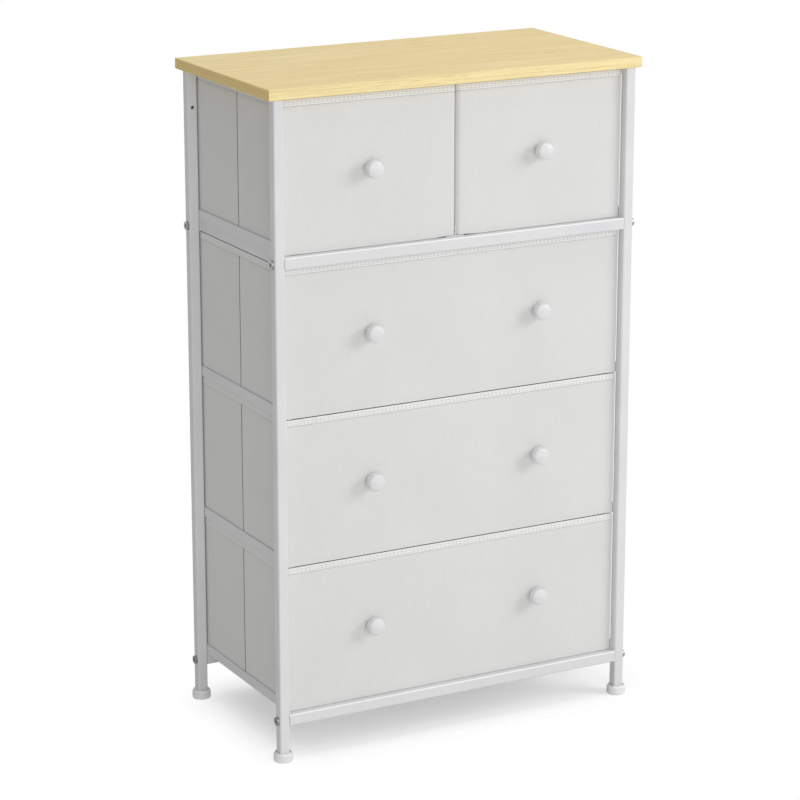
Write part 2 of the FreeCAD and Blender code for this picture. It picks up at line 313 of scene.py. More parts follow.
@dataclass(frozen=True)
class OakLaminate:
    """Oak-look laminate: pores, flecks and soft figure that run along the board and along its edge bands, and
    a painted highlight along its sharp edges.
    """

    name: str = "oak_laminate"
    pale: Colour = tone(239, 219, 165)
    warm: Colour = tone(229, 207, 149)
    fleck: Colour = tone(207, 178, 116)
    pore: Colour = tone(186, 154, 94)
    # Tone of the front and back edge bands, and the painted highlight along the sharp edges
    band_tone_and_highlight: Colour = tone(252, 235, 180)
    end_tone: Colour = tone(224, 190, 106)
    end_share: float = 0.45
    front_share: float = 0.65
    line_share: float = 0.38
    pore_share: float = 0.5
    # How much of the painted highlight shows along the sharp edges
    edge_share: float = 0.5
    fleck_shares: Pair = (0.6, 0.95)
    edge_width: float = mm(0.7)
    facing_limit: float = 0.7
    drift: Grain = Grain((3.0, 14.0, 14.0), 2.0)
    drift_reach: float = 0.05
    height_scale: float = 1.7
    figure: Grain = Grain((5.0, 110.0, 260.0), 4.0, 0.62)
    flecks: Grain = Grain((34.0, 330.0, 420.0), 3.0, 0.6)
    pores: Grain = Grain((60.0, 1500.0, 1700.0), 2.0, 0.6)
    patches: Grain = Grain((5.0, 16.0, 16.0), 1.0)
    lines: Grain = Grain((9.0, 60.0, 620.0), 2.0, 0.6)
    figure_span: Pair = (0.34, 0.68)
    fleck_span: Pair = (0.52, 0.74)
    pore_span: Pair = (0.56, 0.70)
    patch_span: Pair = (0.35, 0.75)
    patch_least: float = 0.25
    line_span: Pair = (0.48, 0.62)
    roughness: Pair = (0.46, 0.60)
    pore_bump: Pair = (0.12, mm(0.12))

    def material(self) -> Material:
        """Wires figure, flecks, pores and edge bands.

        Returns:
            The material of the top board.
        """
        wiring = Wiring(bpy.data.materials.new(self.name))
        x, y, z = wiring.parts(wiring.place())
        sideways, _, upwards = wiring.parts(wiring.facing())
        end_band = wiring.math("GREATER_THAN", wiring.math("ABSOLUTE", sideways), self.facing_limit)
        on_edge = wiring.math("LESS_THAN", wiring.math("ABSOLUTE", upwards), self.facing_limit)
        front_band = wiring.math("SUBTRACT", on_edge, end_band)
        swap = wiring.product(wiring.math("SUBTRACT", y, x), end_band)
        along, across = wiring.math("ADD", x, swap), wiring.math("SUBTRACT", y, swap)
        run = wiring.joined(along, across, z)
        strayed = wiring.math("ADD", across, wiring.product(wiring.clouds(run, self.drift), self.drift_reach))
        figure_run = wiring.joined(along, strayed, wiring.product(z, self.height_scale))
        figure, flecks = wiring.clouds(figure_run, self.figure), wiring.clouds(figure_run, self.flecks)
        pores, lines = wiring.clouds(run, self.pores), wiring.clouds(run, self.lines)
        where = wiring.span(wiring.clouds(run, self.patches), *self.patch_span, self.patch_least, 1.0)
        flecked = wiring.product(wiring.span(flecks, *self.fleck_span), where)
        pored = wiring.product(wiring.span(pores, *self.pore_span), where)
        lined = wiring.product(wiring.span(lines, *self.line_span, 0.0, self.line_share), on_edge)
        contrast = wiring.span(end_band, 0.0, 1.0, *self.fleck_shares)
        colour = wiring.blend(wiring.span(figure, *self.figure_span), self.pale, self.warm)
        colour = wiring.blend(wiring.product(flecked, contrast), colour, self.fleck)
        colour = wiring.blend(end_band, colour, self.end_tone, self.end_share)
        colour = wiring.blend(front_band, colour, self.band_tone_and_highlight, self.front_share)
        colour = wiring.blend(lined, colour, self.fleck)
        colour = wiring.blend(pored, colour, self.pore, self.pore_share)
        # Painted highlight along the board's sharp edges
        colour = wiring.blend(wiring.edges(self.edge_width), colour, self.band_tone_and_highlight, self.edge_share)
        return wiring.surface({"Base Color": colour, "Normal": wiring.bump(pored, *self.pore_bump),
                               "Roughness": wiring.span(pores, *CLOUD_MIDDLE, *self.roughness),
                               "Specular IOR Level": 0.2})


@dataclass(frozen=True)
class PaintedSteel:
    """Baked white paint on tube and sheet: fine orange peel, faint tone changes, thin paint along edges, and
    a painted highlight on rounded corners that face up.
    """

    name: str = "white_steel"
    paint: Colour = tone(225, 225, 226)
    shade: Colour = tone(219, 219, 221)
    # Lighter tone of worn sheet edges, and the painted highlight on rounded corners that face up
    wear_and_highlight: Colour = tone(248, 248, 248)
    edge_width: float = mm(0.5)
    edge_share: float = 0.3
    drift: Grain = Grain(even(9.0), 4.0)
    peel: Grain = Grain(even(850.0), 2.0)
    gloss: Grain = Grain(even(60.0))
    shade_span: Pair = (0.35, 0.7)
    roughness: Pair = (0.36, 0.50)
    peel_bump: Pair = (0.10, mm(0.05))

    def material(self) -> Material:
        """Wires paint, peel and edges.

        Returns:
            The material of the frame.
        """
        wiring = Wiring(bpy.data.materials.new(self.name))
        drift, peel, gloss = (wiring.clouds(wiring.place(), grain)
                              for grain in (self.drift, self.peel, self.gloss))
        body = wiring.blend(wiring.span(drift, *self.shade_span), self.paint, self.shade)
        rubbed = wiring.product(wiring.edges(self.edge_width), self.edge_share)
        # Painted highlight on rounded corners that face up, and wear on sharp sheet edges
        colour = wiring.blend(wiring.math("MAXIMUM", wiring.painted_highlight_bends(), rubbed), body, self.wear_and_highlight)
        return wiring.surface({"Base Color": colour, "Normal": wiring.bump(peel, *self.peel_bump),
                               "Roughness": wiring.span(gloss, *CLOUD_MIDDLE, *self.roughness),
                               "Specular IOR Level": 0.08})


class Weave(Enum):
    """How a cloth is made."""

    PLAIN = "plain weave"
    BONDED = "bonded web"


@dataclass(frozen=True)
class Cloth:
    """Cloth of the drawers: threads or bonded points, slubs that run up and down, faint tone changes, and
    painted shade in the weave's hollows.
    """

    name: str
    weave: Weave
    yarn: Colour
    slub: Colour
    hollow_shade: Colour
    thread: float = mm(0.75)
    depth: float = mm(0.16)
    streaks: float = 0.34
    slubs: Grain = Grain((420.0, 38.0, 1.0), 3.0, 0.6)
    picks: Grain = Grain((30.0, 600.0, 1.0), 2.0, 0.55)
    drift: Grain = Grain((9.0, 6.0, 1.0))
    pick_share: float = 0.4
    streak_span: Pair = (0.55, 0.85)
    drift_span: Pair = (0.35, 0.75)
    drift_share: float = 0.5
    hollow_shade_limit: float = 0.45
    hollow_shade_share: float = 0.55
    lump_bump: Pair = (0.25, mm(0.2))
    thread_strength: float = 0.45

    def material(self) -> Material:
        """Wires threads, slubs and tone.

        Returns:
            The material of the cloth.
        """
        wiring = Wiring(bpy.data.materials.new(self.name))
        at = wiring.cloth_place()
        along, up, _ = wiring.parts(at)
        if self.weave is Weave.BONDED:
            along, up = wiring.math("ADD", along, up), wiring.math("SUBTRACT", along, up)
        turn = math.pi / self.thread
        warp, weft = (wiring.math("SINE", wiring.product(way, turn)) for way in (along, up))
        crossing = wiring.span(wiring.product(warp, weft), -1.0, 1.0)
        slubs, picks, drift = (wiring.clouds(at, grain) for grain in (self.slubs, self.picks, self.drift))
        uneven = wiring.math("ADD", slubs, wiring.product(picks, self.pick_share))
        streak = wiring.span(uneven, *self.streak_span)
        drifted = wiring.span(drift, *self.drift_span, 0.0, self.drift_share)
        # Painted shade: darker where the threads dip between their crossings
        sunk = wiring.span(crossing, self.hollow_shade_limit, 0.0, 0.0, self.hollow_shade_share)
        colour = wiring.blend(streak, self.yarn, self.slub, self.streaks)
        colour = wiring.blend(drifted, colour, self.slub)
        colour = wiring.blend(sunk, colour, self.hollow_shade)
        lumps = wiring.bump(streak, *self.lump_bump)
        return wiring.surface({"Base Color": colour, "Roughness": 0.92,
                               "Normal": wiring.bump(crossing, self.thread_strength, self.depth, lumps),
                               "Specular IOR Level": 0.18, "Sheen Weight": 0.12, "Sheen Roughness": 0.6})


@dataclass(frozen=True)
class HemTape:
    """Binding tape of the hem: fine cross ribs, pierced between the stitches of two rows, with painted shade
    in the rib grooves and the needle holes.
    """

    name: str = "hem_tape"
    rib: Colour = tone(236, 236, 234)
    # The tone that the drift turns to, and the painted shade in the grooves between the ribs
    groove: Colour = tone(227, 227, 225)
    hole_shade: Colour = tone(190, 190, 188)
    rib_width: float = mm(1.05)
    hole_radius: float = mm(0.95)
    hole_core: float = 0.6
    hole_share: float = (STITCH_LENGTH / STITCH_PITCH + 1.0) / 2.0
    drift: Grain = Grain((14.0, 60.0, 1.0))
    drift_span: Pair = (0.35, 0.75)
    groove_share: float = 0.6
    groove_limit: float = 0.5
    roughness: Pair = (0.9, 0.8)
    hole_bump: Pair = (0.5, mm(0.3))
    rib_bump: Pair = (0.3, mm(0.1))

    def material(self) -> Material:
        """Wires ribs, rows and needle holes.

        Returns:
            The material of the hem.
        """
        wiring = Wiring(bpy.data.materials.new(self.name))
        at = wiring.cloth_place()
        along, up, _ = wiring.parts(at)
        phase = wiring.product(along, FULL_TURN / self.rib_width)
        ribs = wiring.span(wiring.math("SINE", phase), -1.0, 1.0)
        beat = wiring.math("FRACT", wiring.math("DIVIDE", along, STITCH_PITCH))
        beside = wiring.product(wiring.math("SUBTRACT", beat, self.hole_share), STITCH_PITCH)
        rows = [wiring.math("ABSOLUTE", wiring.math("SUBTRACT", up, row)) for row in STITCH_ROWS]
        away = wiring.length(beside, wiring.math("MINIMUM", *rows))
        holes = wiring.span(away, self.hole_radius, self.hole_radius * self.hole_core)
        drifted = wiring.span(wiring.clouds(at, self.drift), *self.drift_span, 0.0, self.groove_share)
        # Painted shade in the grooves between the ribs
        sunk = wiring.span(ribs, self.groove_limit, 0.0, 0.0, self.groove_share)
        colour = wiring.blend(drifted, self.rib, self.groove)
        colour = wiring.blend(sunk, colour, self.groove)
        # Painted shade in the needle holes
        colour = wiring.blend(holes, colour, self.hole_shade)
        pierced = wiring.bump(wiring.math("SUBTRACT", 1.0, holes), *self.hole_bump)
        return wiring.surface({"Base Color": colour, "Normal": wiring.bump(ribs, *self.rib_bump, pierced),
                               "Roughness": wiring.span(ribs, 0.0, 1.0, *self.roughness),
                               "Specular IOR Level": 0.2})


@dataclass(frozen=True)
class MouldedPlastic:
    """Moulded plastic: a fine matt skin with faint flow marks."""

    name: str
    skin: Colour
    flow: Colour
    roughness: Pair = (0.30, 0.42)
    marks: Grain = Grain((60.0, 60.0, 140.0))
    pits: Grain = Grain(even(2400.0), 1.0)
    flow_span: Pair = (0.35, 0.75)
    pit_bump: Pair = (0.12, mm(0.03))

    def material(self) -> Material:
        """Wires skin and flow marks.

        Returns:
            The material of a knob or a foot.
        """
        wiring = Wiring(bpy.data.materials.new(self.name))
        marks, pits = (wiring.clouds(wiring.place(), grain) for grain in (self.marks, self.pits))
        colour = wiring.blend(wiring.span(marks, *self.flow_span), self.skin, self.flow)
        return wiring.surface({"Base Color": colour, "Normal": wiring.bump(pits, *self.pit_bump),
                               "Roughness": wiring.span(marks, *CLOUD_MIDDLE, *self.roughness),
                               "Specular IOR Level": 0.5})


@dataclass(frozen=True)
class PlatedSteel:
    """Dark plated steel of bolt and screw heads: turned marks and a dull bloom."""

    name: str = "bolt_steel"
    bright: Colour = tone(192, 192, 194)
    dull: Colour = tone(132, 132, 134)
    bloom: Grain = Grain(even(420.0), 4.0, 0.6)
    marks: Grain = Grain((2400.0, 260.0, 2400.0), 2.0)
    dull_span: Pair = (0.3, 0.72)
    roughness: Pair = (0.24, 0.46)
    mark_bump: Pair = (0.15, mm(0.04))

    def material(self) -> Material:
        """Wires plating and bloom.

        Returns:
            The material of bolt and screw heads.
        """
        wiring = Wiring(bpy.data.materials.new(self.name))
        bloom, marks = (wiring.clouds(wiring.place(), grain) for grain in (self.bloom, self.marks))
        colour = wiring.blend(wiring.span(bloom, *self.dull_span), self.bright, self.dull)
        return wiring.surface({"Base Color": colour, "Normal": wiring.bump(marks, *self.mark_bump),
                               "Roughness": wiring.span(bloom, *CLOUD_MIDDLE, *self.roughness),
                               "Metallic": 1.0})


@dataclass(frozen=True)
class PaperedBoard:
    """Fibre board faced in pale paper: matted fibres under the paper, with a few darker flecks."""

    name: str = "fibre_board"
    paper: Colour = tone(216, 213, 206)
    fibre: Colour = tone(204, 199, 188)
    fleck: Colour = tone(176, 164, 144)
    fibres: Grain = Grain((260.0, 420.0, 340.0), 5.0, 0.7)
    flecks: Grain = Grain((900.0, 500.0, 700.0), 2.0)
    fibre_span: Pair = (0.38, 0.7)
    fleck_span: Pair = (0.62, 0.74)
    fleck_share: float = 0.7
    roughness: Pair = (0.72, 0.9)
    fibre_bump: Pair = (0.2, mm(0.15))

    def material(self) -> Material:
        """Wires paper, fibres and flecks.

        Returns:
            The material of the boards inside the drawers.
        """
        wiring = Wiring(bpy.data.materials.new(self.name))
        fibres, flecks = (wiring.clouds(wiring.place(), grain) for grain in (self.fibres, self.flecks))
        body = wiring.blend(wiring.span(fibres, *self.fibre_span), self.paper, self.fibre)
        flecked = wiring.span(flecks, *self.fleck_span, 0.0, self.fleck_share)
        return wiring.surface({"Base Color": wiring.blend(flecked, body, self.fleck),
                               "Normal": wiring.bump(fibres, *self.fibre_bump),
                               "Roughness": wiring.span(fibres, *CLOUD_MIDDLE, *self.roughness),
                               "Specular IOR Level": 0.25})


@dataclass(frozen=True)
class SewingThread:
    """Spun sewing thread: two plies that twist round each other, with painted shade between them."""

    name: str = "sewing_thread"
    pale: Colour = tone(238, 238, 236)
    # Painted shade between the plies
    groove: Colour = tone(206, 206, 204)
    twist_along: float = 9000.0
    twist_around: float = 12.6
    twist_bump: Pair = (0.4, mm(0.05))

    def material(self) -> Material:
        """Wires the twist.

        Returns:
            The material of the stitches.
        """
        wiring = Wiring(bpy.data.materials.new(self.name))
        around, along, _ = wiring.parts(wiring.cloth_place())
        phase = wiring.math("ADD", wiring.product(along, self.twist_along),
                            wiring.product(around, self.twist_around))
        twist = wiring.span(wiring.math("SINE", phase), -1.0, 1.0)
        return wiring.surface({"Base Color": wiring.blend(twist, self.groove, self.pale), "Roughness": 0.8,
                               "Specular IOR Level": 0.25, "Normal": wiring.bump(twist, *self.twist_bump)})


@cache
def material_of(finish: Finish) -> Material:
    """Makes a finish's material at the first call, and hands the same one out later."""
    return finish.material()


WALL_CLOTH = Cloth("drawer_cloth", Weave.PLAIN, tone(225, 225, 223), tone(216, 216, 214),
                   tone(208, 208, 206))
# Dark cloth that paints shade into the side folds and into the narrow band under the hem
FOLD_SHADE_CLOTH = Cloth("painted_crease_shade", Weave.PLAIN, tone(146, 146, 144), tone(132, 132, 130),
                      tone(120, 120, 118))
LINING = Cloth("drawer_lining", Weave.BONDED, tone(224, 224, 222), tone(212, 212, 210),
               tone(200, 200, 198), thread=mm(1.4), depth=mm(0.12), streaks=0.6)
KNOB_PLASTIC = MouldedPlastic("knob_plastic", tone(226, 226, 226), tone(219, 219, 220))
FOOT_PLASTIC = MouldedPlastic("foot_plastic", tone(239, 239, 239), tone(232, 232, 233), (0.40, 0.55))


# Drawing of meshes


class MeshSketch:
    """Points, faces and cloth places of one piece while it is being drawn."""

    def __init__(self) -> None:
        """Starts an empty piece."""
        self.points: list[Point] = []
        self.faces: list[tuple[int, ...]] = []
        self.cloth: list[list[Pair]] = []
        self.finish: list[int] = []

    def ring(self, points: Sequence[Point]) -> list[int]:
        """Adds a ring of points.

        Args:
            points: The points in order.

        Returns:
            Their numbers.
        """
        first = len(self.points)
        self.points.extend(points)
        return list(range(first, first + len(points)))

    def band(self, lower: Sequence[int], upper: Sequence[int], along: Sequence[float], heights: Pair,
             finish: int | Sequence[int] = 0) -> None:
        """Closes the strip between two rings of the same count.

        Args:
            lower: Numbers of the first ring's points.
            upper: Numbers of the second ring's points.
            along: How far round the ring each point is, with one more for the way back to the first.
            heights: How far up the cloth the two rings are.
            finish: Which of the piece's finishes the strip has, or one for each of its faces.
        """
        count = len(lower)
        low, high = heights
        finishes = [finish] * count if isinstance(finish, int) else list(finish)
        for step in range(count):
            following = (step + 1) % count
            self.faces.append((lower[step], lower[following], upper[following], upper[step]))
            start, end = along[step], along[step + 1]
            self.cloth.append([(start, low), (end, low), (end, high), (start, high)])
            self.finish.append(finishes[step])

    def cap(self, ring: Sequence[int], finish: int = 0, facing_up: bool = True) -> None:
        """Closes a ring with one flat face.

        Args:
            ring: Numbers of the ring's points.
            finish: Which of the piece's finishes the face has.
            facing_up: Whether the face looks the way that the rings climb.
        """
        numbers = list(ring) if facing_up else list(reversed(ring))
        self.faces.append(tuple(numbers))
        self.cloth.append([(self.points[number][0], self.points[number][1]) for number in numbers])
        self.finish.append(finish)

    def close(self, rings: Sequence[Sequence[int]], first: int = 0, last: int = 0) -> None:
        """Caps both ends of a row of rings, each in a finish of its own."""
        self.cap(rings[0], first, facing_up=False)
        self.cap(rings[-1], last)

    def piece(self, name: str, materials: Sequence[Material]) -> Piece:
        """Makes the drawn piece.

        Args:
            name: The piece's name.
            materials: Its materials, in the order of the finishes' numbers.

        Returns:
            The new object, smooth and in the scene.
        """
        mesh = bpy.data.meshes.new(name)
        mesh.from_pydata(self.points, [], self.faces)
        layer = mesh.uv_layers.new(name="cloth")
        places = [number for face in self.cloth for pair in face for number in pair]
        layer.data.foreach_set("uv", places)
        mesh.polygons.foreach_set("material_index", self.finish)
        mesh.polygons.foreach_set("use_smooth", [True] * len(self.faces))
        for material in materials:
            mesh.materials.append(material)
        mesh.validate()
        mesh.update()
        made = bpy.data.objects.new(name, mesh)
        bpy.context.scene.collection.objects.link(made)
        return made


class Axis(Enum):
    """Which way a turned piece stands: the direction of its height."""

    UP = (0.0, 0.0, 1.0)
    FRONT = (0.0, -1.0, 0.0)
    BACK = (0.0, 1.0, 0.0)


def turns(sides: int) -> list[float]:
    """Divides a full turn into equal parts, without the last, which is the first again."""
    return [FULL_TURN * side / sides for side in range(sides)]


def divided(length: float, count: int) -> list[float]:
    """Divides a length into equal parts, both ends among them."""
    return [length * step / count for step in range(count + 1)]


@dataclass
class Lathe:
    """Turns a profile of radius and height pairs about an axis."""

    sides: int
    axis: Axis

    def at(self, centre: Vector, across: float, beside: float, height: float) -> Point:
        """Gives one point of the turned form.

        Args:
            centre: Where height zero of the axis is.
            across: The point's place off the axis, to one side.
            beside: Its place off the axis, at right angles to that.
            height: Its height along the axis.

        Returns:
            The point in the shared frame.
        """
        if self.axis is Axis.UP:
            return (centre.x + across, centre.y + beside, centre.z + height)
        if self.axis is Axis.BACK:
            return (centre.x - across, centre.y + height, centre.z + beside)
        return (centre.x + across, centre.y - height, centre.z + beside)

    def turned(self, sketch: MeshSketch, centre: Vector, profile: Sequence[Pair],
               carved: Callable[[float, float], float] | None = None) -> list[list[int]]:
        """Draws the turned form from its lowest to its highest ring.

        Args:
            sketch: Where the form is drawn.
            centre: Where height zero of the axis is.
            profile: Radius and height of each ring.
            carved: How much is cut off the height at a place off the axis, where anything is.

        Returns:
            The rings' point numbers.
        """
        rings: list[list[int]] = []
        for radius, height in profile:
            places = [(radius * math.cos(turn), radius * math.sin(turn)) for turn in turns(self.sides)]
            cuts = [carved(*place) if carved else 0.0 for place in places]
            points = [self.at(centre, *place, height - cut) for place, cut in zip(places, cuts)]
            rings.append(sketch.ring(points))
        run = 0.0
        for step in range(len(rings) - 1):
            (low_radius, low), (high_radius, high) = profile[step], profile[step + 1]
            length = math.hypot(high_radius - low_radius, high - low)
            along = divided(FULL_TURN * max(low_radius, high_radius), self.sides)
            sketch.band(rings[step], rings[step + 1], along, (run, run + length))
            run += length
        return rings


def arc(centre: Pair, radius: Pair, from_deg: float, to_deg: float, steps: int) -> list[Pair]:
    """Gives points on part of an ellipse.

    Args:
        centre: The ellipse's middle.
        radius: Its two radii.
        from_deg: Where the part starts, in degrees.
        to_deg: Where it ends.
        steps: How many runs it is divided into.

    Returns:
        The points, both ends among them.
    """
    (x, y), (wide, high) = centre, radius
    angles = [math.radians(from_deg + turn) for turn in divided(to_deg - from_deg, steps)]
    return [(x + wide * math.cos(angle), y + high * math.sin(angle)) for angle in angles]


def dress(node: str, finish: Finish) -> Piece:
    """Gives a solid its finish.

    Args:
        node: The solid's name.
        finish: Its finish.

    Returns:
        The solid's object.
    """
    solid = frame["nodes"][node]
    solid.data.materials.clear()
    solid.data.materials.append(material_of(finish))
    return solid


def sharpen(piece: Piece) -> None:
    """Keeps a smooth piece's corners crisp."""
    piece.data.set_sharp_from_angle(angle=math.radians(SHARP_DEG))


def settle(piece: Piece, body: str, slot: str, *nodes: str) -> Piece:
    """Makes a new piece ride on its body.

    Args:
        piece: The piece, already in place.
        body: The body that carries it.
        slot: The record's slot of its finish; not used.
        nodes: Solids that it stands for.

    Returns:
        The piece.
    """
    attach(piece, body)
    if nodes:
        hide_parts(*nodes)
    return piece


class Assembly(Protocol):
    """What every sub-assembly has and can do."""

    body: str

    def build(self) -> list[Piece]:
        """Makes and dresses its pieces."""


# Steel frame


@dataclass
class SteelFrame:
    """The still part: posts, rails, top board, bolts and feet."""

    body: str = "frame"
    foot_radius: float = mm(13.5)
    foot_height: float = mm(11.5)
    foot_round: float = mm(2.0)
    foot_edge: float = mm(0.9)
    sole_inset: float = mm(4.0)
    groove_low: float = mm(7.9)
    groove_high: float = mm(9.0)
    groove_depth: float = mm(0.8)
    groove_bevel: float = mm(0.3)
    collar_radius: float = mm(11.7)
    collar_height: float = mm(13.5)
    collar_wall: float = mm(0.9)
    collar_taper: float = mm(0.02)
    socket_mouth: float = mm(11.8)
    socket_half: float = mm(7.6)
    socket_floor: float = mm(4.0)
    socket_girth: float = mm(70.0)
    # How far along the skin the collar's inner foot, the socket's mouth and its floor are
    socket_runs: Triple = (mm(30.0), mm(34.0), mm(44.0))
    sides: int = 64

    def build(self) -> list[Piece]:
        """Dresses the frame's solids and makes its feet.

        Returns:
            The pieces, solids first.
        """
        finishes: dict[str, Finish] = {"top_panel": OakLaminate(), "frame_bolts": PlatedSteel()}
        nodes = frame["record"]["behaviour"]["bodies"][self.body]
        feet = [name for name in nodes if name.startswith("foot_")]
        pieces = [dress(name, finishes.get(name, PaintedSteel())) for name in nodes if name not in feet]
        return pieces + [self.make_foot(name) for name in feet]

    def foot_profile(self) -> list[Pair]:
        """Draws the section of the foot's skin.

        Returns:
            Radius and height from the floor, over the collar, to the collar's inner foot.
        """
        wide, bevel, bend, edge = self.foot_radius, self.groove_bevel, self.foot_round, self.foot_edge
        rim, half = self.collar_radius, self.collar_wall / 2.0
        lower = arc((wide - bend, bend), (bend, bend), -90.0, 0.0, steps=6)
        groove = [(wide, self.groove_low - bevel), (wide - self.groove_depth, self.groove_low),
                  (wide - self.groove_depth, self.groove_high), (wide, self.groove_high + bevel)]
        shoulder = arc((wide - edge, self.foot_height - edge), (edge, edge), 0.0, 90.0, steps=4)
        collar_foot = [(rim + bevel / 2.0, self.foot_height), (rim, self.foot_height + bevel)]
        collar = arc((rim - half, self.collar_height - half), (half, half), 0.0, 180.0, steps=6)
        inner_foot = [(rim - self.collar_wall - self.collar_taper, self.socket_mouth)]
        return [(wide - self.sole_inset, 0.0)] + lower + groove + shoulder + collar_foot + collar + inner_foot

    def make_foot(self, node: str) -> Piece:
        """Turns one round foot with a groove, a collar and a square socket.

        Args:
            node: The solid that the foot stands for.

        Returns:
            The foot.
        """
        low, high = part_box(node)
        centre = Vector(((low.x + high.x) / 2.0, (low.y + high.y) / 2.0, 0.0))
        sketch = MeshSketch()
        rings = Lathe(self.sides, Axis.UP).turned(sketch, centre, self.foot_profile())
        skin = len(rings) - 1
        socket = (self.socket_mouth, self.socket_floor)
        rings += [sketch.ring(self.square(centre, height)) for height in socket]
        along = divided(self.socket_girth, self.sides)
        for step, heights in enumerate(zip(self.socket_runs, self.socket_runs[1:]), skin):
            sketch.band(rings[step], rings[step + 1], along, heights)
        sketch.close(rings)
        foot = sketch.piece(f"{node}_cap", [material_of(FOOT_PLASTIC)])
        sharpen(foot)
        return settle(foot, self.body, "foot_plastic", node)

    def square(self, centre: Vector, height: float) -> list[Point]:
        """Draws the square socket's outline.

        Args:
            centre: The foot's middle.
            height: How high over the floor the outline is.

        Returns:
            A point for each side of the turned form.
        """
        points: list[Point] = []
        for turn in turns(self.sides):
            reach = self.socket_half / max(abs(math.cos(turn)), abs(math.sin(turn)))
            points.append((centre.x + reach * math.cos(turn), centre.y + reach * math.sin(turn), height))
        return points


# Drawers


class Wall(Enum):
    """The four walls of a drawer."""

    FRONT = "front"
    RIGHT = "right"
    BACK = "back"
    LEFT = "left"


class Layer(Enum):
    """The cloths that a drawer is sewn from; the value is the finish's number on the box."""

    WALL = 0
    HEM = 1
    LINING = 2
    # Not a sewn cloth: painted shade in the side folds and in the narrow band under the hem
    PAINTED_SHADE = 3


@dataclass(frozen=True)
class Run:
    """One straight part of the way round a drawer's walls, and the round of the corner that follows it."""

    start: Pair
    end: Pair
    wall: Wall
    out: Pair
    corner: float


@dataclass(frozen=True)
class Station:
    """One place on the way round a drawer's walls."""

    x: float
    y: float
    out_x: float
    out_y: float
    wall: Wall
    share: float
    run: float = 0.0

    @property
    def on_side(self) -> bool:
        """Tells whether the place is on the left or the right wall."""
        return self.wall in (Wall.LEFT, Wall.RIGHT)


@dataclass(frozen=True)
class Level:
    """One ring of a drawer's section: how far in from the wall, how high over the underside, its cloth."""

    inset: float
    height: float
    layer: Layer


@dataclass
class Knob:
    """A turned knob with a slim neck and a drum-shaped head with a softly domed face."""

    sunk: float = mm(0.6)
    base_radius: float = mm(6.8)
    base_height: float = mm(0.9)
    base_bevel: float = mm(0.5)
    bevel_height: float = mm(1.6)
    neck_radius: float = mm(5.6)
    neck_low: float = mm(3.4)
    neck_high: float = mm(5.2)
    under_height: float = mm(8.0)
    under_round: Pair = (mm(4.4), mm(2.8))
    under_turn: Pair = (-88.0, -14.0)
    head_radius: float = mm(12.3)
    head_round: Pair = (mm(2.2), mm(2.6))
    head_low: float = mm(10.4)
    rim_turn: Pair = (-66.0, 0.0)
    drum_top: float = mm(16.4)
    shoulder: Pair = (mm(3.0), mm(3.7))
    shoulder_turn: Pair = (0.0, 76.0)
    length: float = mm(22.0)
    face_rings: int = 7
    face_middle: float = 0.02
    sides: int = 64

    def profile(self) -> list[Pair]:
        """Draws the knob's section.

        Returns:
            Radius and height from the base to the middle of the face.
        """
        base, wide, neck = self.base_radius, self.head_radius, self.neck_radius
        foot = [(base, -self.sunk), (base, self.base_height), (base - self.base_bevel, self.bevel_height),
                (neck, self.neck_low), (neck, self.neck_high)]
        under = arc((neck, self.under_height), self.under_round, *self.under_turn, steps=6)
        rim = arc((wide - self.head_round[0], self.head_low), self.head_round, *self.rim_turn, steps=5)
        edge = arc((wide - self.shoulder[0], self.drum_top), self.shoulder, *self.shoulder_turn, steps=8)
        radius, height = edge[-1]
        shares = [1.0 - step / self.face_rings for step in range(1, self.face_rings)] + [self.face_middle]
        face = [(radius * share, self.length - (self.length - height) * share * share) for share in shares]
        return foot + under + rim + edge + face

    def build(self, node: str, body: str) -> Piece:
        """Turns the knob that stands for a solid.

        Args:
            node: The solid.
            body: The drawer that carries it.

        Returns:
            The knob.
        """
        low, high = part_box(node)
        base = Vector(((low.x + high.x) / 2.0, high.y, (low.z + high.z) / 2.0))
        sketch = MeshSketch()
        sketch.close(Lathe(self.sides, Axis.FRONT).turned(sketch, base, self.profile()))
        knob = sketch.piece(f"{node}_turned", [material_of(KNOB_PLASTIC)])
        return settle(knob, body, "knob_plastic", node)


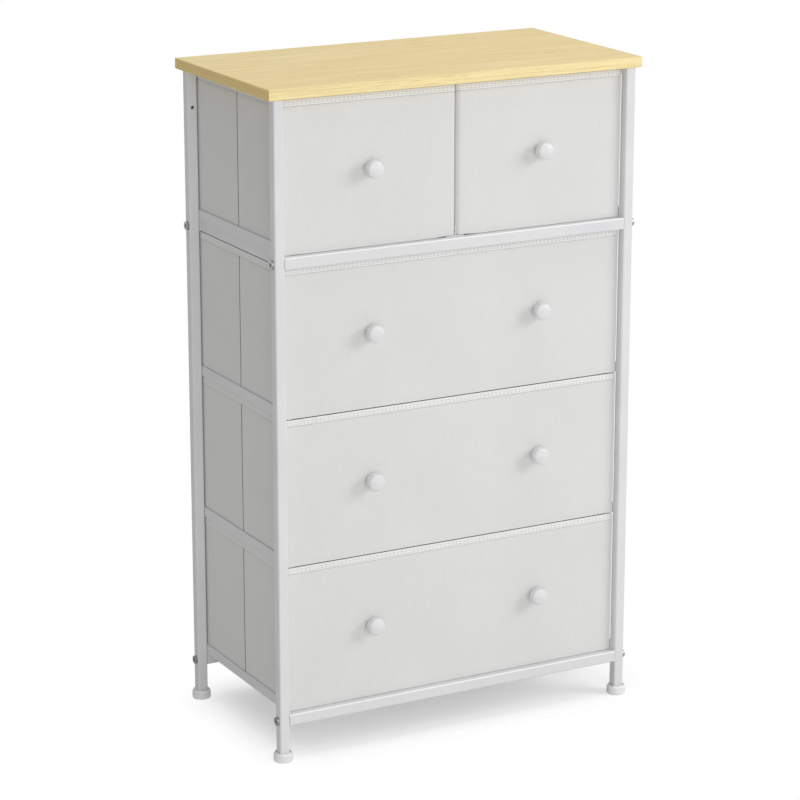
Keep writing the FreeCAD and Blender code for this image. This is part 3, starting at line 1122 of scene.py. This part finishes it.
@dataclass
class PanScrew:
    """The screw that holds a knob, inside the drawer: a pan head with a cross recess, on a washer."""

    washer_radius: float = mm(6.5)
    washer_thick: float = mm(0.9)
    washer_bevel: float = mm(0.2)
    head_radius: float = mm(4.4)
    head_height: float = mm(2.6)
    head_low: float = mm(0.6)
    head_round: float = mm(1.8)
    head_turn: Pair = (0.0, 84.0)
    face_rings: int = 10
    face_rise: float = mm(0.01)
    cross_half: float = mm(0.55)
    cross_edge: Pair = (0.8, 1.3)
    cross_reach: float = mm(2.4)
    cross_end: float = 0.8
    cross_depth: float = mm(1.2)
    sides: int = 48

    def recess(self, across: float, beside: float) -> float:
        """Finds how deep the cross recess is.

        Args:
            across: The place off the axis, along one arm of the cross.
            beside: The place off the axis, along the other.

        Returns:
            The depth there.
        """
        near, reach = min(abs(across), abs(beside)), math.hypot(across, beside)
        arms = 1.0 - ease(self.cross_half * self.cross_edge[0], self.cross_half * self.cross_edge[1], near)
        ended = ease(self.cross_reach * self.cross_end, self.cross_reach, reach)
        return self.cross_depth * arms * (1.0 - ended)

    def build(self, name: str, seat: Vector, body: str) -> Piece:
        """Turns a screw on its seat.

        Args:
            name: The screw's name.
            seat: Where its washer lies, facing the back.
            body: The drawer that carries it.

        Returns:
            The screw.
        """
        wide, thick, head, bevel = self.washer_radius, self.washer_thick, self.head_radius, self.washer_bevel
        washer = [(wide, 0.0), (wide, thick - bevel), (wide - bevel, thick), (head, thick)]
        bend = (self.head_round, self.head_height - self.head_low)
        crown = arc((head - self.head_round, thick + self.head_low), bend, *self.head_turn, steps=6)
        radius, height = crown[-1]
        face = [(radius * (1.0 - step / self.face_rings), height + self.face_rise * step)
                for step in range(1, self.face_rings)]
        sketch = MeshSketch()
        sketch.close(Lathe(self.sides, Axis.BACK).turned(sketch, seat, washer + crown + face, self.recess))
        screw = sketch.piece(name, [material_of(PlatedSteel())])
        sharpen(screw)
        return settle(screw, body, "bolt_steel")


@dataclass
class FrontSleeve:
    """The lining sleeve of a drawer's front board: up the board's back and over its top edge."""

    body: str
    gap: float = mm(0.35)
    thick: float = mm(0.5)
    foot_gap: float = mm(0.6)
    side_reach: float = mm(1.0)
    cell: float = mm(9.0)
    top_turn: Pair = (30.0, 90.0)
    slack: float = mm(0.9)
    held_reach: float = mm(25.0)
    screw_reach: float = mm(16.0)
    wave_level: float = 0.5
    # A wave's scale across, its place in the noise, and its scale up
    broad_wave: Triple = (7.0, 1.7, 9.0)
    fine_wave: Triple = (26.0, 5.1, 14.0)
    fine_share: float = 0.3

    def build(self, screws: Sequence[Pair]) -> tuple[Piece, float]:
        """Sews the sleeve round its board.

        Args:
            screws: Places across and up where screws draw the sleeve in.

        Returns:
            The sleeve, and how far back its face is at a screw.
        """
        low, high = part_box(f"{self.body}_front_board")
        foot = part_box(f"{self.body}_base_board")[1].z + self.foot_gap
        back, top, rim = high.y + self.gap, high.z + self.gap, self.gap + self.thick
        height = high.z - foot
        rise = [(back, foot + step) for step in divided(height, round(height / self.cell))]
        inner = rise + arc((high.y, high.z), (self.gap, self.gap), *self.top_turn, steps=2) + [(low.y, top)]
        outer = [(y + self.thick, z) for y, z in rise]
        outer += arc((high.y, high.z), (rim, rim), *self.top_turn, steps=3) + [(low.y, top + self.thick)]
        section = outer + list(reversed(inner))
        along = [0.0]
        for here, there in zip(section, section[1:] + section[:1]):
            along.append(along[-1] + math.dist(here, there))
        left, width = low.x - self.side_reach, high.x - low.x + 2.0 * self.side_reach
        places = [left + step for step in divided(width, round(width / self.cell))]
        sketch = MeshSketch()
        rings: list[list[int]] = []
        for x in places:
            loose = [self.looseness(x, z, screws, foot, high.z) if number < len(rise) else 0.0
                     for number, (_, z) in enumerate(section)]
            rings.append(sketch.ring([(x, y + proud, z) for (y, z), proud in zip(section, loose)]))
        for step in range(len(places) - 1):
            sketch.band(rings[step], rings[step + 1], along, (places[step], places[step + 1]))
        sketch.close(rings)
        sleeve = sketch.piece(f"{self.body}_board_sleeve", [material_of(LINING)])
        sharpen(sleeve)
        return settle(sleeve, self.body, "drawer_fabric"), back + self.thick

    def looseness(self, x: float, z: float, screws: Sequence[Pair], foot: float, top: float) -> float:
        """Finds how far the sleeve's face stands off its board.

        Args:
            x: The place across the board.
            z: The place up the board.
            screws: Places across and up where screws draw the sleeve in.
            foot: The height of the sleeve's foot, where it lies close.
            top: The height of the board's top edge, where it lies close too.

        Returns:
            The distance to the back.
        """
        broad, fine = (noise.noise(Vector((x * across, plane, z * up)))
                       for across, plane, up in (self.broad_wave, self.fine_wave))
        wave = self.wave_level + broad + self.fine_share * fine
        held = ease(foot, foot + self.held_reach, z) * (1.0 - ease(top - self.held_reach, top, z))
        for across, up in screws:
            held *= 1.0 - math.exp(-(math.hypot(x - across, z - up) / self.screw_reach) ** 2)
        return self.slack * max(wave, 0.0) * held


@dataclass
class SewnDrawer:
    """One drawer: a sewn cloth box with a taped hem, stitch rows and pressed side folds, painted shade in the
    folds and under the hem, boards and knobs.
    """

    body: str
    seed_step: float = 7.3

    # Cells of the mesh
    cell: float = mm(7.0)
    least_cells: int = 4
    corner_steps: int = 6

    # Corners, and the inner ones of the left and the right top drawer
    corner: float = mm(2.0)
    inner_corners: Pair = (mm(4.5), mm(7.0))
    least_corner: float = mm(0.5)
    inner_reach: float = mm(20.0)
    inner_gap: float = mm(0.05)

    # Walls and floor
    wall: float = mm(1.5)
    front_wall: float = mm(2.2)
    front_ramp: float = 8.0
    floor: float = mm(1.7)
    floor_bend: Pair = (mm(0.4), mm(0.3))
    floor_edge: float = mm(2.0)
    floor_inset: float = mm(40.0)

    # Hem, and the lining that starts under it
    hem_height: float = mm(9.0)
    hem_proud: float = mm(0.4)
    hem_lean: float = mm(0.6)
    hem_upright: float = mm(2.4)
    hem_rows: tuple[float, ...] = (mm(0.3), mm(1.6), mm(2.9), mm(4.2), mm(5.5), mm(6.8))
    hem_inside: float = mm(2.7)
    inside_rise: float = mm(0.8)
    inside_edge: Pair = (mm(0.3), mm(0.4))
    inside_top: float = mm(6.0)
    rim_round: float = mm(1.0)
    seam_drop: float = mm(1.2)
    seam_pinch: float = mm(0.5)
    # How far out the ring lies that closes the band of painted shade under the hem
    under_hem_shade_share: float = 0.6
    lining_rows: int = 9
    lining_seam: float = mm(0.2)
    lining_top: float = mm(0.4)
    lining_foot: float = mm(2.0)

    # Pressed fold of the sides, and the ridges beside it
    fold_depth: float = mm(1.3)
    fold_half: float = mm(1.2)
    fold_foot: float = mm(6.0)
    fold_ends: Pair = (mm(8.0), mm(6.0))
    fold_parts: tuple[float, ...] = (0.3, 0.65, 1.0, 1.6)
    fold_clear: float = 2.2
    # Faces this many fold half-widths from the fold take the cloth of painted shade
    fold_shade_margin: float = 1.01
    ridge_height: float = mm(0.25)
    ridge_place: float = 1.6
    ridge_width: float = mm(1.2)

    # How the fold strays: a place in the noise and a scale up, and for the quick part a fixed seed
    stray: float = mm(0.8)
    stray_slow: Pair = (0.7, 11.0)
    stray_quick: Triple = (4.1, 40.0, 0.3)
    stray_share: float = 0.4
    stray_reach: Pair = (mm(4.0), mm(30.0))

    # Slack cloth: a ripple's scales along and up, and what it adds to the seed
    dimple_depth: float = mm(0.45)
    dimple_reach: float = mm(15.0)
    bow_powers: Pair = (0.7, 0.8)
    ripple: Triple = (9.0, 7.0, 0.0)
    fine_ripple: Triple = (34.0, 12.0, 3.0)
    ripple_shares: Pair = (0.55, 0.2)
    ripple_ends: Pair = (1.6, 2.0)

    # Sag of the underside, and its lip before the ledges
    sag_depth: float = mm(1.1)
    sag_start: float = mm(15.0)
    sag_end: float = mm(34.0)
    sag_rise: float = mm(9.0)
    lip_start: float = mm(0.4)
    lip_end: float = mm(1.1)

    # A stitch's rings: share of its length, lift off the cloth and girth in radii
    stitch_radius: float = mm(0.28)
    stitch_sides: int = 5
    stitch_shape: tuple[Triple, ...] = ((0.0, -0.9, 0.45), (0.22, 0.1, 1.0),
                                        (0.78, 0.1, 1.0), (1.0, -0.9, 0.45))

    # The underside's rings: inset and height in millimetres
    underside: tuple[Pair, ...] = ((40.0, 0.0), (4.0, 0.0), (1.2, 0.08), (0.35, 0.4), (0.03, 1.2),
                                   (0.2, 2.2), (0.25, 2.8), (0.0, 3.8))

    # How far each wall bows in, apart from ripples, fold and dimples
    slack: dict[Wall, float] = field(default_factory=lambda: {
        Wall.FRONT: mm(0.15), Wall.RIGHT: mm(0.6), Wall.BACK: mm(1.2), Wall.LEFT: mm(0.6)})

    def __post_init__(self) -> None:
        """Reads the drawer's place from its solids."""
        low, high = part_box(f"{self.body}_fabric_box")
        self.inner_side = self.beside(high.x) - self.beside(low.x)
        left, right = (self.inner_gap if self.beside(x) else self.hem_proud for x in (low.x, high.x))
        self.low = Vector((low.x + left, low.y + self.hem_proud, low.z))
        self.high = Vector((high.x - right, high.y - self.hem_proud, high.z))
        names = frame["record"]["behaviour"]["bodies"][self.body]
        self.knob_nodes = sorted(name for name in names if "_knob" in name)
        self.board_nodes = sorted(name for name in names if name.endswith("_board"))
        boxes = [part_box(name) for name in self.knob_nodes]
        self.knob_places = [((a.x + b.x) / 2.0, (a.z + b.z) / 2.0) for a, b in boxes]
        self.seed = self.seed_step * (1 + sorted(frame["bodies"]).index(self.body))
        self.stations = self.walk()
        self.runs = [station.run for station in self.stations]
        last, first = self.stations[-1], self.stations[0]
        self.girth = last.run + math.dist((last.x, last.y), (first.x, first.y))

    def build(self) -> list[Piece]:
        """Makes the drawer's pieces.

        Returns:
            The box, its stitching, the boards, the front board's sleeve, the knobs and their screws.
        """
        pieces = [self.make_box(), self.make_stitching()]
        pieces += [dress(name, PaperedBoard()) for name in self.board_nodes]
        sleeve, face = FrontSleeve(self.body).build(self.knob_places)
        pieces.append(sleeve)
        for node, (x, z) in zip(self.knob_nodes, self.knob_places):
            pieces.append(Knob().build(node, self.body))
            pieces.append(PanScrew().build(f"{node}_screw", Vector((x, face, z)), self.body))
        return pieces

    def beside(self, x: float) -> bool:
        """Tells whether a side is beside the other top drawer."""
        return abs(x) < self.inner_reach

    def corner_at(self, x: float) -> float:
        """Finds how round the corners of a side are: softer where the two top drawers meet.

        Args:
            x: The side's place across the dresser.

        Returns:
            The corners' radius.
        """
        if not self.beside(x):
            return self.corner
        return self.inner_corners[0] if x < 0.0 else self.inner_corners[1]

    def overrun(self, deep: float, corner: float) -> float:
        """Gives how much a ring is drawn in at a corner whose round is too small for the ring's depth."""
        return max(0.0, deep + self.least_corner - corner)

    def shorten(self, station: Station, deep: float) -> float:
        """Finds how far a place slides along its wall, so that a deep ring stays between its corners.

        Args:
            station: The place round the walls.
            deep: How far in the ring lies.

        Returns:
            The distance along the wall, the way that the walls are walked.
        """
        if station.out_x and station.out_y:
            return 0.0
        left, right = self.corner_at(self.low.x), self.corner_at(self.high.x)
        start = left if station.wall in (Wall.FRONT, Wall.LEFT) else right
        end = left if station.wall in (Wall.BACK, Wall.LEFT) else right
        return self.overrun(deep, start) * (1.0 - station.share) - self.overrun(deep, end) * station.share

    def tuck(self, station: Station) -> float:
        """Gives how far the hem is drawn in where a side is close to its neighbour."""
        return self.hem_proud * max(station.out_x * self.inner_side, 0.0) ** 2

    def walk(self) -> list[Station]:
        """Steps round the outer walls, counter-clockwise from the middle of the back.

        Returns:
            The stations in order, the last one just before the first.
        """
        x0, y0, x1, y1 = self.low.x, self.low.y, self.high.x, self.high.y
        middle, left, right = (x0 + x1) / 2.0, self.corner_at(x0), self.corner_at(x1)
        runs = [Run((middle, y1), (x0 + left, y1), Wall.BACK, (0.0, 1.0), left),
                Run((x0, y1 - left), (x0, y0 + left), Wall.LEFT, (-1.0, 0.0), left),
                Run((x0 + left, y0), (x1 - right, y0), Wall.FRONT, (0.0, -1.0), right),
                Run((x1, y0 + right), (x1, y1 - right), Wall.RIGHT, (1.0, 0.0), right),
                Run((x1 - right, y1), (middle, y1), Wall.BACK, (0.0, 1.0), 0.0)]
        found: list[Station] = []
        for number, run in enumerate(runs):
            for share in self.shares(run):
                x, y = (start + (end - start) * share for start, end in zip(run.start, run.end))
                found.append(Station(x, y, *run.out, run.wall, self.wall_share(run.wall, number, share)))
            if run.corner:
                found.extend(self.turn_corner(run))
        stations: list[Station] = []
        walked = 0.0
        for before, here in zip(found[:1] + found, found[:-1]):
            walked += math.dist((here.x, here.y), (before.x, before.y))
            stations.append(replace(here, run=walked))
        return stations

    def shares(self, run: Run) -> list[float]:
        """Divides a wall, with closer steps beside the pressed fold of a side.

        Args:
            run: The straight part of the way along the wall.

        Returns:
            How far along the run each station is, from 0 to 1.
        """
        length = math.dist(run.start, run.end)
        steps = divided(1.0, max(self.least_cells, round(length / self.cell)))
        if run.wall not in (Wall.LEFT, Wall.RIGHT):
            return steps
        near = [0.5 + side * self.fold_half * part / length for side in (-1, 1) for part in self.fold_parts]
        kept = [share for share in steps if abs(share - 0.5) * length > self.fold_half * self.fold_clear]
        return sorted(kept + near + [0.5])

    def wall_share(self, wall: Wall, number: int, share: float) -> float:
        """Finds how far along its whole wall a place is, since the back is walked in two halves.

        Args:
            wall: The wall.
            number: Which run it is, where the first is half of the back.
            share: How far along the run the place is.

        Returns:
            The share of the whole wall.
        """
        if wall is not Wall.BACK:
            return share
        return 0.5 + share / 2.0 if number == 0 else share / 2.0

    def turn_corner(self, run: Run) -> list[Station]:
        """Steps round the corner that follows a run.

        Args:
            run: The straight part before the corner.

        Returns:
            The corner's stations, without its two ends.
        """
        x, y = (end - out * run.corner for end, out in zip(run.end, run.out))
        first = math.atan2(run.out[1], run.out[0])
        ways = [first + turn for turn in divided(math.pi / 2.0, self.corner_steps)[1:-1]]
        return [Station(x + run.corner * math.cos(way), y + run.corner * math.sin(way),
                        math.cos(way), math.sin(way), run.wall, 1.0) for way in ways]

    def sway(self, station: Station, height: float) -> float:
        """Finds how far the cloth stands out of its flat wall.

        Args:
            station: The place round the walls.
            height: The height over the floor, in the shared frame.

        Returns:
            The distance along the wall's outward direction, below zero where the cloth falls in.
        """
        top = self.high.z - self.hem_height
        level = min(max((height - self.low.z) / (top - self.low.z), 0.0), 1.0)
        upright = math.sin(math.pi * level)
        panel = abs(math.sin(math.pi * station.share * (2.0 if station.on_side else 1.0)))
        broad, fine = (noise.noise(Vector((station.run * along, height * up, self.seed + more)))
                       for along, up, more in (self.ripple, self.fine_ripple))
        rippled = self.ripple_shares[0] * broad + self.ripple_shares[1] * fine
        held = min(1.0, self.ripple_ends[0] * upright) * min(1.0, self.ripple_ends[1] * panel)
        bowed = upright ** self.bow_powers[0] * panel ** self.bow_powers[1]
        inward = self.slack[station.wall] * (bowed + rippled * held)
        if station.on_side:
            inward += self.fold(station, height)
        if station.wall is Wall.FRONT:
            inward += self.knob_dimple(station, height)
        return -inward

    def fold_away(self, station: Station) -> float:
        """Finds how far along its side wall a place is from the pressed fold.

        Args:
            station: The place round the walls.

        Returns:
            The distance, without end on a wall that has no fold.
        """
        if not station.on_side:
            return math.inf
        return abs(station.share - 0.5) * (self.high.y - self.low.y - 2.0 * self.corner_at(station.x))

    def fold(self, station: Station, height: float) -> float:
        """Finds the depth of the pressed fold half-way along a side wall.

        Args:
            station: The place round the walls.
            height: The height over the floor.

        Returns:
            The depth, below zero on the ridges beside the fold.
        """
        away = self.fold_away(station)
        low, high = self.low.z + self.fold_foot, self.high.z - self.hem_height
        lower, upper = self.fold_ends
        ends = ease(low, low + lower, height) * (1.0 - ease(high - upper, high, height))
        valley = self.fold_depth * max(0.0, 1.0 - away / self.fold_half)
        off_ridge = (away - self.fold_half * self.ridge_place) / self.ridge_width
        return ends * (valley - self.ridge_height * math.exp(-off_ridge ** 2))

    def wander(self, station: Station, height: float) -> float:
        """Finds how far the pressed fold strays along its wall.

        Args:
            station: The place round the walls.
            height: The height over the floor.

        Returns:
            The distance along the wall, none far from the fold.
        """
        away = self.fold_away(station)
        if away > self.stray_reach[1]:
            return 0.0
        (slow_at, slow), (quick_at, quick, quick_seed) = self.stray_slow, self.stray_quick
        strayed = noise.noise(Vector((slow_at, height * slow, self.seed)))
        strayed += self.stray_share * noise.noise(Vector((quick_at, height * quick, quick_seed)))
        return self.stray * strayed * (1.0 - ease(*self.stray_reach, away))

    def knob_dimple(self, station: Station, height: float) -> float:
        """Gives how far the knobs' screws pull the front cloth in."""
        away = [math.hypot(station.x - x, height - z) for x, z in self.knob_places]
        return sum(self.dimple_depth * math.exp(-(reach / self.dimple_reach) ** 2) for reach in away)

    def sag(self, x: float, y: float) -> float:
        """Finds how far the underside hangs down: between the ledges, and before their ends at the front.

        Args:
            x: The place across the dresser.
            y: The place from front to back.

        Returns:
            The distance down.
        """
        between = ease(self.sag_start, self.sag_end, min(x - self.low.x, self.high.x - x))
        clear = ease(self.sag_start, self.sag_end, abs(x)) if self.inner_side else 1.0
        before = clear * (1.0 - ease(self.lip_start, self.lip_end, y - self.low.y))
        return self.sag_depth * max(between, before)

    def hem_face(self, rise: float) -> float:
        """Gives how far in the hem's face lies at a rise over its lower edge: it leans in towards the rim."""
        return self.hem_lean * ease(self.hem_upright, self.hem_height, rise) - self.hem_proud

    def levels(self) -> list[Level]:
        """Draws the box's section from the underside, over the hem, to the inner floor.

        Returns:
            The rings in order; a ring's cloth is that of the band that leads to it.
        """
        top = self.high.z - self.low.z
        hem, inside = top - self.hem_height, self.hem_inside
        rows = [Level(mm(inset), mm(height), Layer.WALL) for inset, height in self.underside]
        start = rows[-1].height
        wall_height = hem - self.seam_drop - start
        steps = divided(wall_height, round(wall_height / self.cell))
        rows += [Level(0.0, start + step, Layer.WALL) for step in steps[1:]]
        # The narrow band that ends at the hem's lower edge is painted shade
        rows += [Level(self.seam_pinch, hem - self.seam_pinch, Layer.WALL),
                 Level(-self.hem_proud * self.under_hem_shade_share, hem, Layer.PAINTED_SHADE)]
        rows += [Level(self.hem_face(rise), hem + rise, Layer.HEM) for rise in self.hem_rows]
        rim, bend = self.hem_face(self.hem_height), self.rim_round
        middle, half = (inside + rim) / 2.0, (inside - rim) / 2.0
        fold = arc((middle, top - bend), (half, bend), 180.0, 0.0, steps=8)
        rows += [Level(inset, height, Layer.HEM) for inset, height in fold]
        edge = hem + self.inside_rise
        rows += [Level(inside, top - self.inside_top, Layer.HEM),
                 Level(inside, edge + self.inside_edge[1], Layer.HEM),
                 Level(inside - self.inside_edge[0], edge, Layer.HEM),
                 Level(self.wall, edge - self.lining_seam, Layer.LINING)]
        steps = divided(edge - self.lining_foot - self.floor, self.lining_rows)
        rows += [Level(self.wall, edge - self.lining_top - step, Layer.LINING) for step in steps[1:]]
        rows += [Level(self.wall + self.floor_bend[0], self.floor + self.floor_bend[1], Layer.LINING),
                 Level(self.wall + self.floor_edge, self.floor, Layer.LINING),
                 Level(self.floor_inset, self.floor, Layer.LINING)]
        return rows

    def at(self, station: Station, level: Level) -> Point:
        """Finds the point of a ring that belongs to a station.

        Args:
            station: The place round the walls.
            level: The ring.

        Returns:
            The point in the shared frame.
        """
        z = self.low.z + level.height
        deep = level.inset if level.inset >= 0.0 else min(level.inset + self.tuck(station), 0.0)
        lined = level.layer is Layer.LINING
        if lined and station.wall is Wall.FRONT and level.height > self.floor:
            ramp = min(1.0, self.front_ramp * min(station.share, 1.0 - station.share))
            deep += (self.front_wall - self.wall) * ramp
        drawn = self.overrun(deep, self.corner_at(station.x))
        out = self.sway(station, z) - deep + drawn
        slide = self.wander(station, z) + self.shorten(station, deep)
        x = station.x + station.out_x * out - sign(station.out_x) * drawn - station.out_y * slide
        y = station.y + station.out_y * out - sign(station.out_y) * drawn + station.out_x * slide
        if not lined:
            z -= self.sag(x, y) * (1.0 - ease(0.0, self.sag_rise, level.height))
        return (x, y, z)

    def cloths(self, level: Level) -> list[int]:
        """Chooses the finishes of the band that leads to a ring: painted shade in the side folds.

        Args:
            level: The ring.

        Returns:
            The finish's number for each face of the band.
        """
        plain = level.layer.value
        if level.layer is not Layer.WALL or level.height < self.fold_foot:
            return [plain] * len(self.stations)
        # Faces in the pressed fold take the cloth of painted shade
        in_shaded_fold = [self.fold_away(station) < self.fold_half * self.fold_shade_margin for station in self.stations]
        return [Layer.PAINTED_SHADE.value if here and there else plain
                for here, there in zip(in_shaded_fold, in_shaded_fold[1:] + in_shaded_fold[:1])]

    def make_box(self) -> Piece:
        """Lofts the cloth box round its walls.

        Returns:
            The sewn box.
        """
        sketch = MeshSketch()
        along = self.runs + [self.girth]
        levels = self.levels()
        rings = [sketch.ring([self.at(station, level) for station in self.stations]) for level in levels]
        climbed = 0.0
        for step, (before, level) in enumerate(zip(levels, levels[1:])):
            length = math.dist((before.inset, before.height), (level.inset, level.height))
            if level.layer is Layer.HEM and before.layer is Layer.PAINTED_SHADE:
                climbed = 0.0
            sketch.band(rings[step], rings[step + 1], along, (climbed, climbed + length), self.cloths(level))
            climbed += length
        sketch.close(rings, Layer.WALL.value, Layer.LINING.value)
        # The last cloth is painted shade for the folds and the band under the hem
        materials = [material_of(finish) for finish in (WALL_CLOTH, HemTape(), LINING, FOLD_SHADE_CLOTH)]
        box = sketch.piece(f"{self.body}_sewn_box", materials)
        return settle(box, self.body, "drawer_fabric", f"{self.body}_fabric_box")

    def make_stitching(self) -> Piece:
        """Sews two rows of stitches along the hem.

        Returns:
            All of the drawer's stitches as one piece.
        """
        sketch = MeshSketch()
        for row in STITCH_ROWS:
            for number in range(math.floor(self.girth / STITCH_PITCH)):
                self.draw_stitch(sketch, STITCH_PITCH * number, row)
        stitches = sketch.piece(f"{self.body}_stitching", [material_of(SewingThread())])
        return settle(stitches, self.body, "drawer_fabric")

    def spot(self, run: float, rise: float, proud: float) -> tuple[Vector, Vector]:
        """Finds a place on the hem.

        Args:
            run: How far round the walls it is.
            rise: How far over the hem's lower edge it is.
            proud: How far out of the hem's face it is.

        Returns:
            The place and the outward direction there.
        """
        after = min(bisect_right(self.runs, run), len(self.runs) - 1)
        first, second = self.stations[after - 1], self.stations[after]
        share = min(max((run - first.run) / (second.run - first.run), 0.0), 1.0)
        height = self.high.z - self.low.z - self.hem_height + rise
        level = Level(self.hem_face(rise) - proud, height, Layer.HEM)
        out = Vector((first.out_x, first.out_y, 0.0)).lerp(Vector((second.out_x, second.out_y, 0.0)), share)
        return Vector(self.at(first, level)).lerp(Vector(self.at(second, level)), share), out.normalized()

    def draw_stitch(self, sketch: MeshSketch, start: float, rise: float) -> None:
        """Draws one stitch: a short thread that dips into the cloth at both ends.

        Args:
            sketch: Where the stitch is drawn.
            start: How far round the walls it starts.
            rise: How far over the hem's lower edge it lies.
        """
        up = Vector((0.0, 0.0, 1.0))
        rings: list[list[int]] = []
        for share, lift, girth in self.stitch_shape:
            middle, out = self.spot(start + STITCH_LENGTH * share, rise, self.stitch_radius * lift)
            radius = self.stitch_radius * girth
            points = [middle + out * math.cos(turn) * radius + up * math.sin(turn) * radius
                      for turn in turns(self.stitch_sides)]
            rings.append(sketch.ring([(point.x, point.y, point.z) for point in reversed(points)]))
        along = divided(1.0, self.stitch_sides)
        runs = [share * STITCH_LENGTH for share, _, _ in self.stitch_shape]
        for step in range(len(rings) - 1):
            sketch.band(rings[step], rings[step + 1], along, (runs[step], runs[step + 1]))
        sketch.close(rings)


# Studio


@dataclass(frozen=True)
class Lamp:
    """One soft studio lamp."""

    name: str
    place: Point
    aim: Point
    size: Pair
    power: float

    def build(self) -> None:
        """Hangs the lamp and turns it to its aim."""
        data = bpy.data.lights.new(self.name, "AREA")
        data.shape = "RECTANGLE"
        data.size, data.size_y = self.size
        data.energy = self.power
        hang(self.name, data, self.place, Vector(self.aim) - Vector(self.place))


def hang(name: str, data: bpy.types.ID, place: Point, look: Vector) -> Piece:
    """Puts a lamp or a camera in its place.

    Args:
        name: Its name.
        data: The lamp or the camera.
        place: Where it hangs.
        look: The direction that it faces.

    Returns:
        The new object.
    """
    made = bpy.data.objects.new(name, data)
    made.location = place
    made.rotation_mode = "QUATERNION"
    made.rotation_quaternion = look.to_track_quat("-Z", "Y")
    bpy.context.scene.collection.objects.link(made)
    return made


@dataclass
class Studio:
    """Pale floor, soft light, white surroundings and the camera."""

    camera_place: Point = (-1.9711, -3.6322, 1.6246)
    azimuth_deg: float = 28.29
    elevation_deg: float = 15.82
    focal_share: float = 2984.0 / 800.0
    sensor: float = 36.0
    room_light: float = 0.42
    floor_radii: Triple = (2.5, 0.8, 0.02)
    floor_sides: int = 96
    floor_drop: float = mm(0.3)
    floor_bounce: Colour = (0.82, 0.82, 0.82, 1.0)
    floor_colour: Colour = (0.85, 0.85, 0.85, 1.0)
    floor_glow: float = 0.33
    shadow_middle: Pair = (0.03, 0.0)
    shadow_half: Pair = (0.24, 0.10)
    shadow_fade: Pair = (0.0, 0.12)
    lamps: tuple[Lamp, ...] = (
        Lamp("key_lamp", (2.25, -1.85, 1.80), (0.0, -0.1, 0.5), (1.5, 1.5), 34.0),
        Lamp("front_lamp", (-0.9, -3.4, 1.0), (0.0, 0.0, 0.45), (2.4, 2.0), 35.5),
        Lamp("overhead_lamp", (0.0, -0.1, 3.05), (0.0, 0.0, 0.9), (1.6, 1.6), 18.0),
    )

    def build(self) -> None:
        """Sets the studio up."""
        bpy.context.scene.view_settings.view_transform = "Standard"
        self.make_floor()
        self.make_surroundings()
        for lamp in self.lamps:
            lamp.build()
        self.make_camera()

    def make_floor(self) -> None:
        """Lays a round floor that keeps the shadow and fades into the white surroundings."""
        sketch = MeshSketch()
        centre = Vector((0.0, 0.0, -self.floor_drop))
        profile = [(radius, 0.0) for radius in self.floor_radii]
        rings = Lathe(self.floor_sides, Axis.UP).turned(sketch, centre, profile)
        sketch.cap(rings[-1])
        wiring = Wiring(bpy.data.materials.new("studio_floor"))
        outside: list[Socket] = []
        for place, middle, half in zip(wiring.parts(wiring.place()), self.shadow_middle, self.shadow_half):
            beside = wiring.math("ABSOLUTE", wiring.math("SUBTRACT", place, middle))
            outside.append(wiring.math("MAXIMUM", wiring.math("SUBTRACT", beside, half), 0.0))
        fade = {"Value": wiring.length(*outside), 1: self.shadow_fade[0], 2: self.shadow_fade[1]}
        gone = wiring.add("MapRange", fade, interpolation_type="SMOOTHSTEP").outputs[0]
        seen = wiring.add("LightPath", {}).outputs["Is Camera Ray"]
        bounce = wiring.add("BsdfDiffuse", {"Color": self.floor_bounce}).outputs[0]
        paper = wiring.add("BsdfDiffuse", {"Color": self.floor_colour}).outputs[0]
        glow = wiring.add("Emission", {"Color": WHITE, "Strength": self.floor_glow}).outputs[0]
        shown = wiring.add("AddShader", {0: paper, 1: glow}).outputs[0]
        lit = wiring.add("MixShader", {0: seen, 1: bounce, 2: shown}).outputs[0]
        clear = wiring.add("BsdfTransparent", {}).outputs[0]
        faded = wiring.add("MixShader", {0: wiring.product(gone, seen), 1: lit, 2: clear}).outputs[0]
        wiring.add("OutputMaterial", {"Surface": faded})
        sketch.piece("studio_floor", [wiring.owner])

    def make_surroundings(self) -> None:
        """Makes the room an even light that looks plain white."""
        world = bpy.data.worlds.new("white_room")
        bpy.context.scene.world = world
        wiring = Wiring(world)
        path = wiring.add("LightPath", {}).outputs
        either = wiring.math("MAXIMUM", path["Is Camera Ray"], path["Is Glossy Ray"])
        seen = wiring.math("MAXIMUM", either, path["Is Transmission Ray"])
        light, white = (wiring.add("Background", {"Color": WHITE, "Strength": strength}).outputs[0]
                        for strength in (self.room_light, 1.0))
        mixed = wiring.add("MixShader", {0: seen, 1: light, 2: white}).outputs[0]
        wiring.add("OutputWorld", {"Surface": mixed})

    def make_camera(self) -> None:
        """Puts the camera where the photograph was taken from."""
        data = bpy.data.cameras.new("photo_camera")
        data.sensor_width = self.sensor
        data.lens = self.focal_share * self.sensor
        azimuth, elevation = math.radians(self.azimuth_deg), math.radians(self.elevation_deg)
        look = Vector((math.sin(azimuth) * math.cos(elevation), math.cos(azimuth) * math.cos(elevation),
                       -math.sin(elevation)))
        bpy.context.scene.camera = hang("photo_camera", data, self.camera_place, look)


def main() -> None:
    """Builds the studio, the frame and the drawers, and reports each piece."""
    logging.basicConfig(level=logging.INFO, format="%(name)s: %(message)s")
    Studio().build()
    steel_frame = SteelFrame()
    bodies = frame["record"]["behaviour"]["bodies"]
    assemblies: list[Assembly] = [steel_frame]
    assemblies += [SewnDrawer(name) for name in bodies if name != steel_frame.body]
    for assembly in assemblies:
        for piece in assembly.build():
            log.info("%s: %s, %d faces", assembly.body, piece.name, len(piece.data.polygons))


if __name__ == "__main__":
    main()
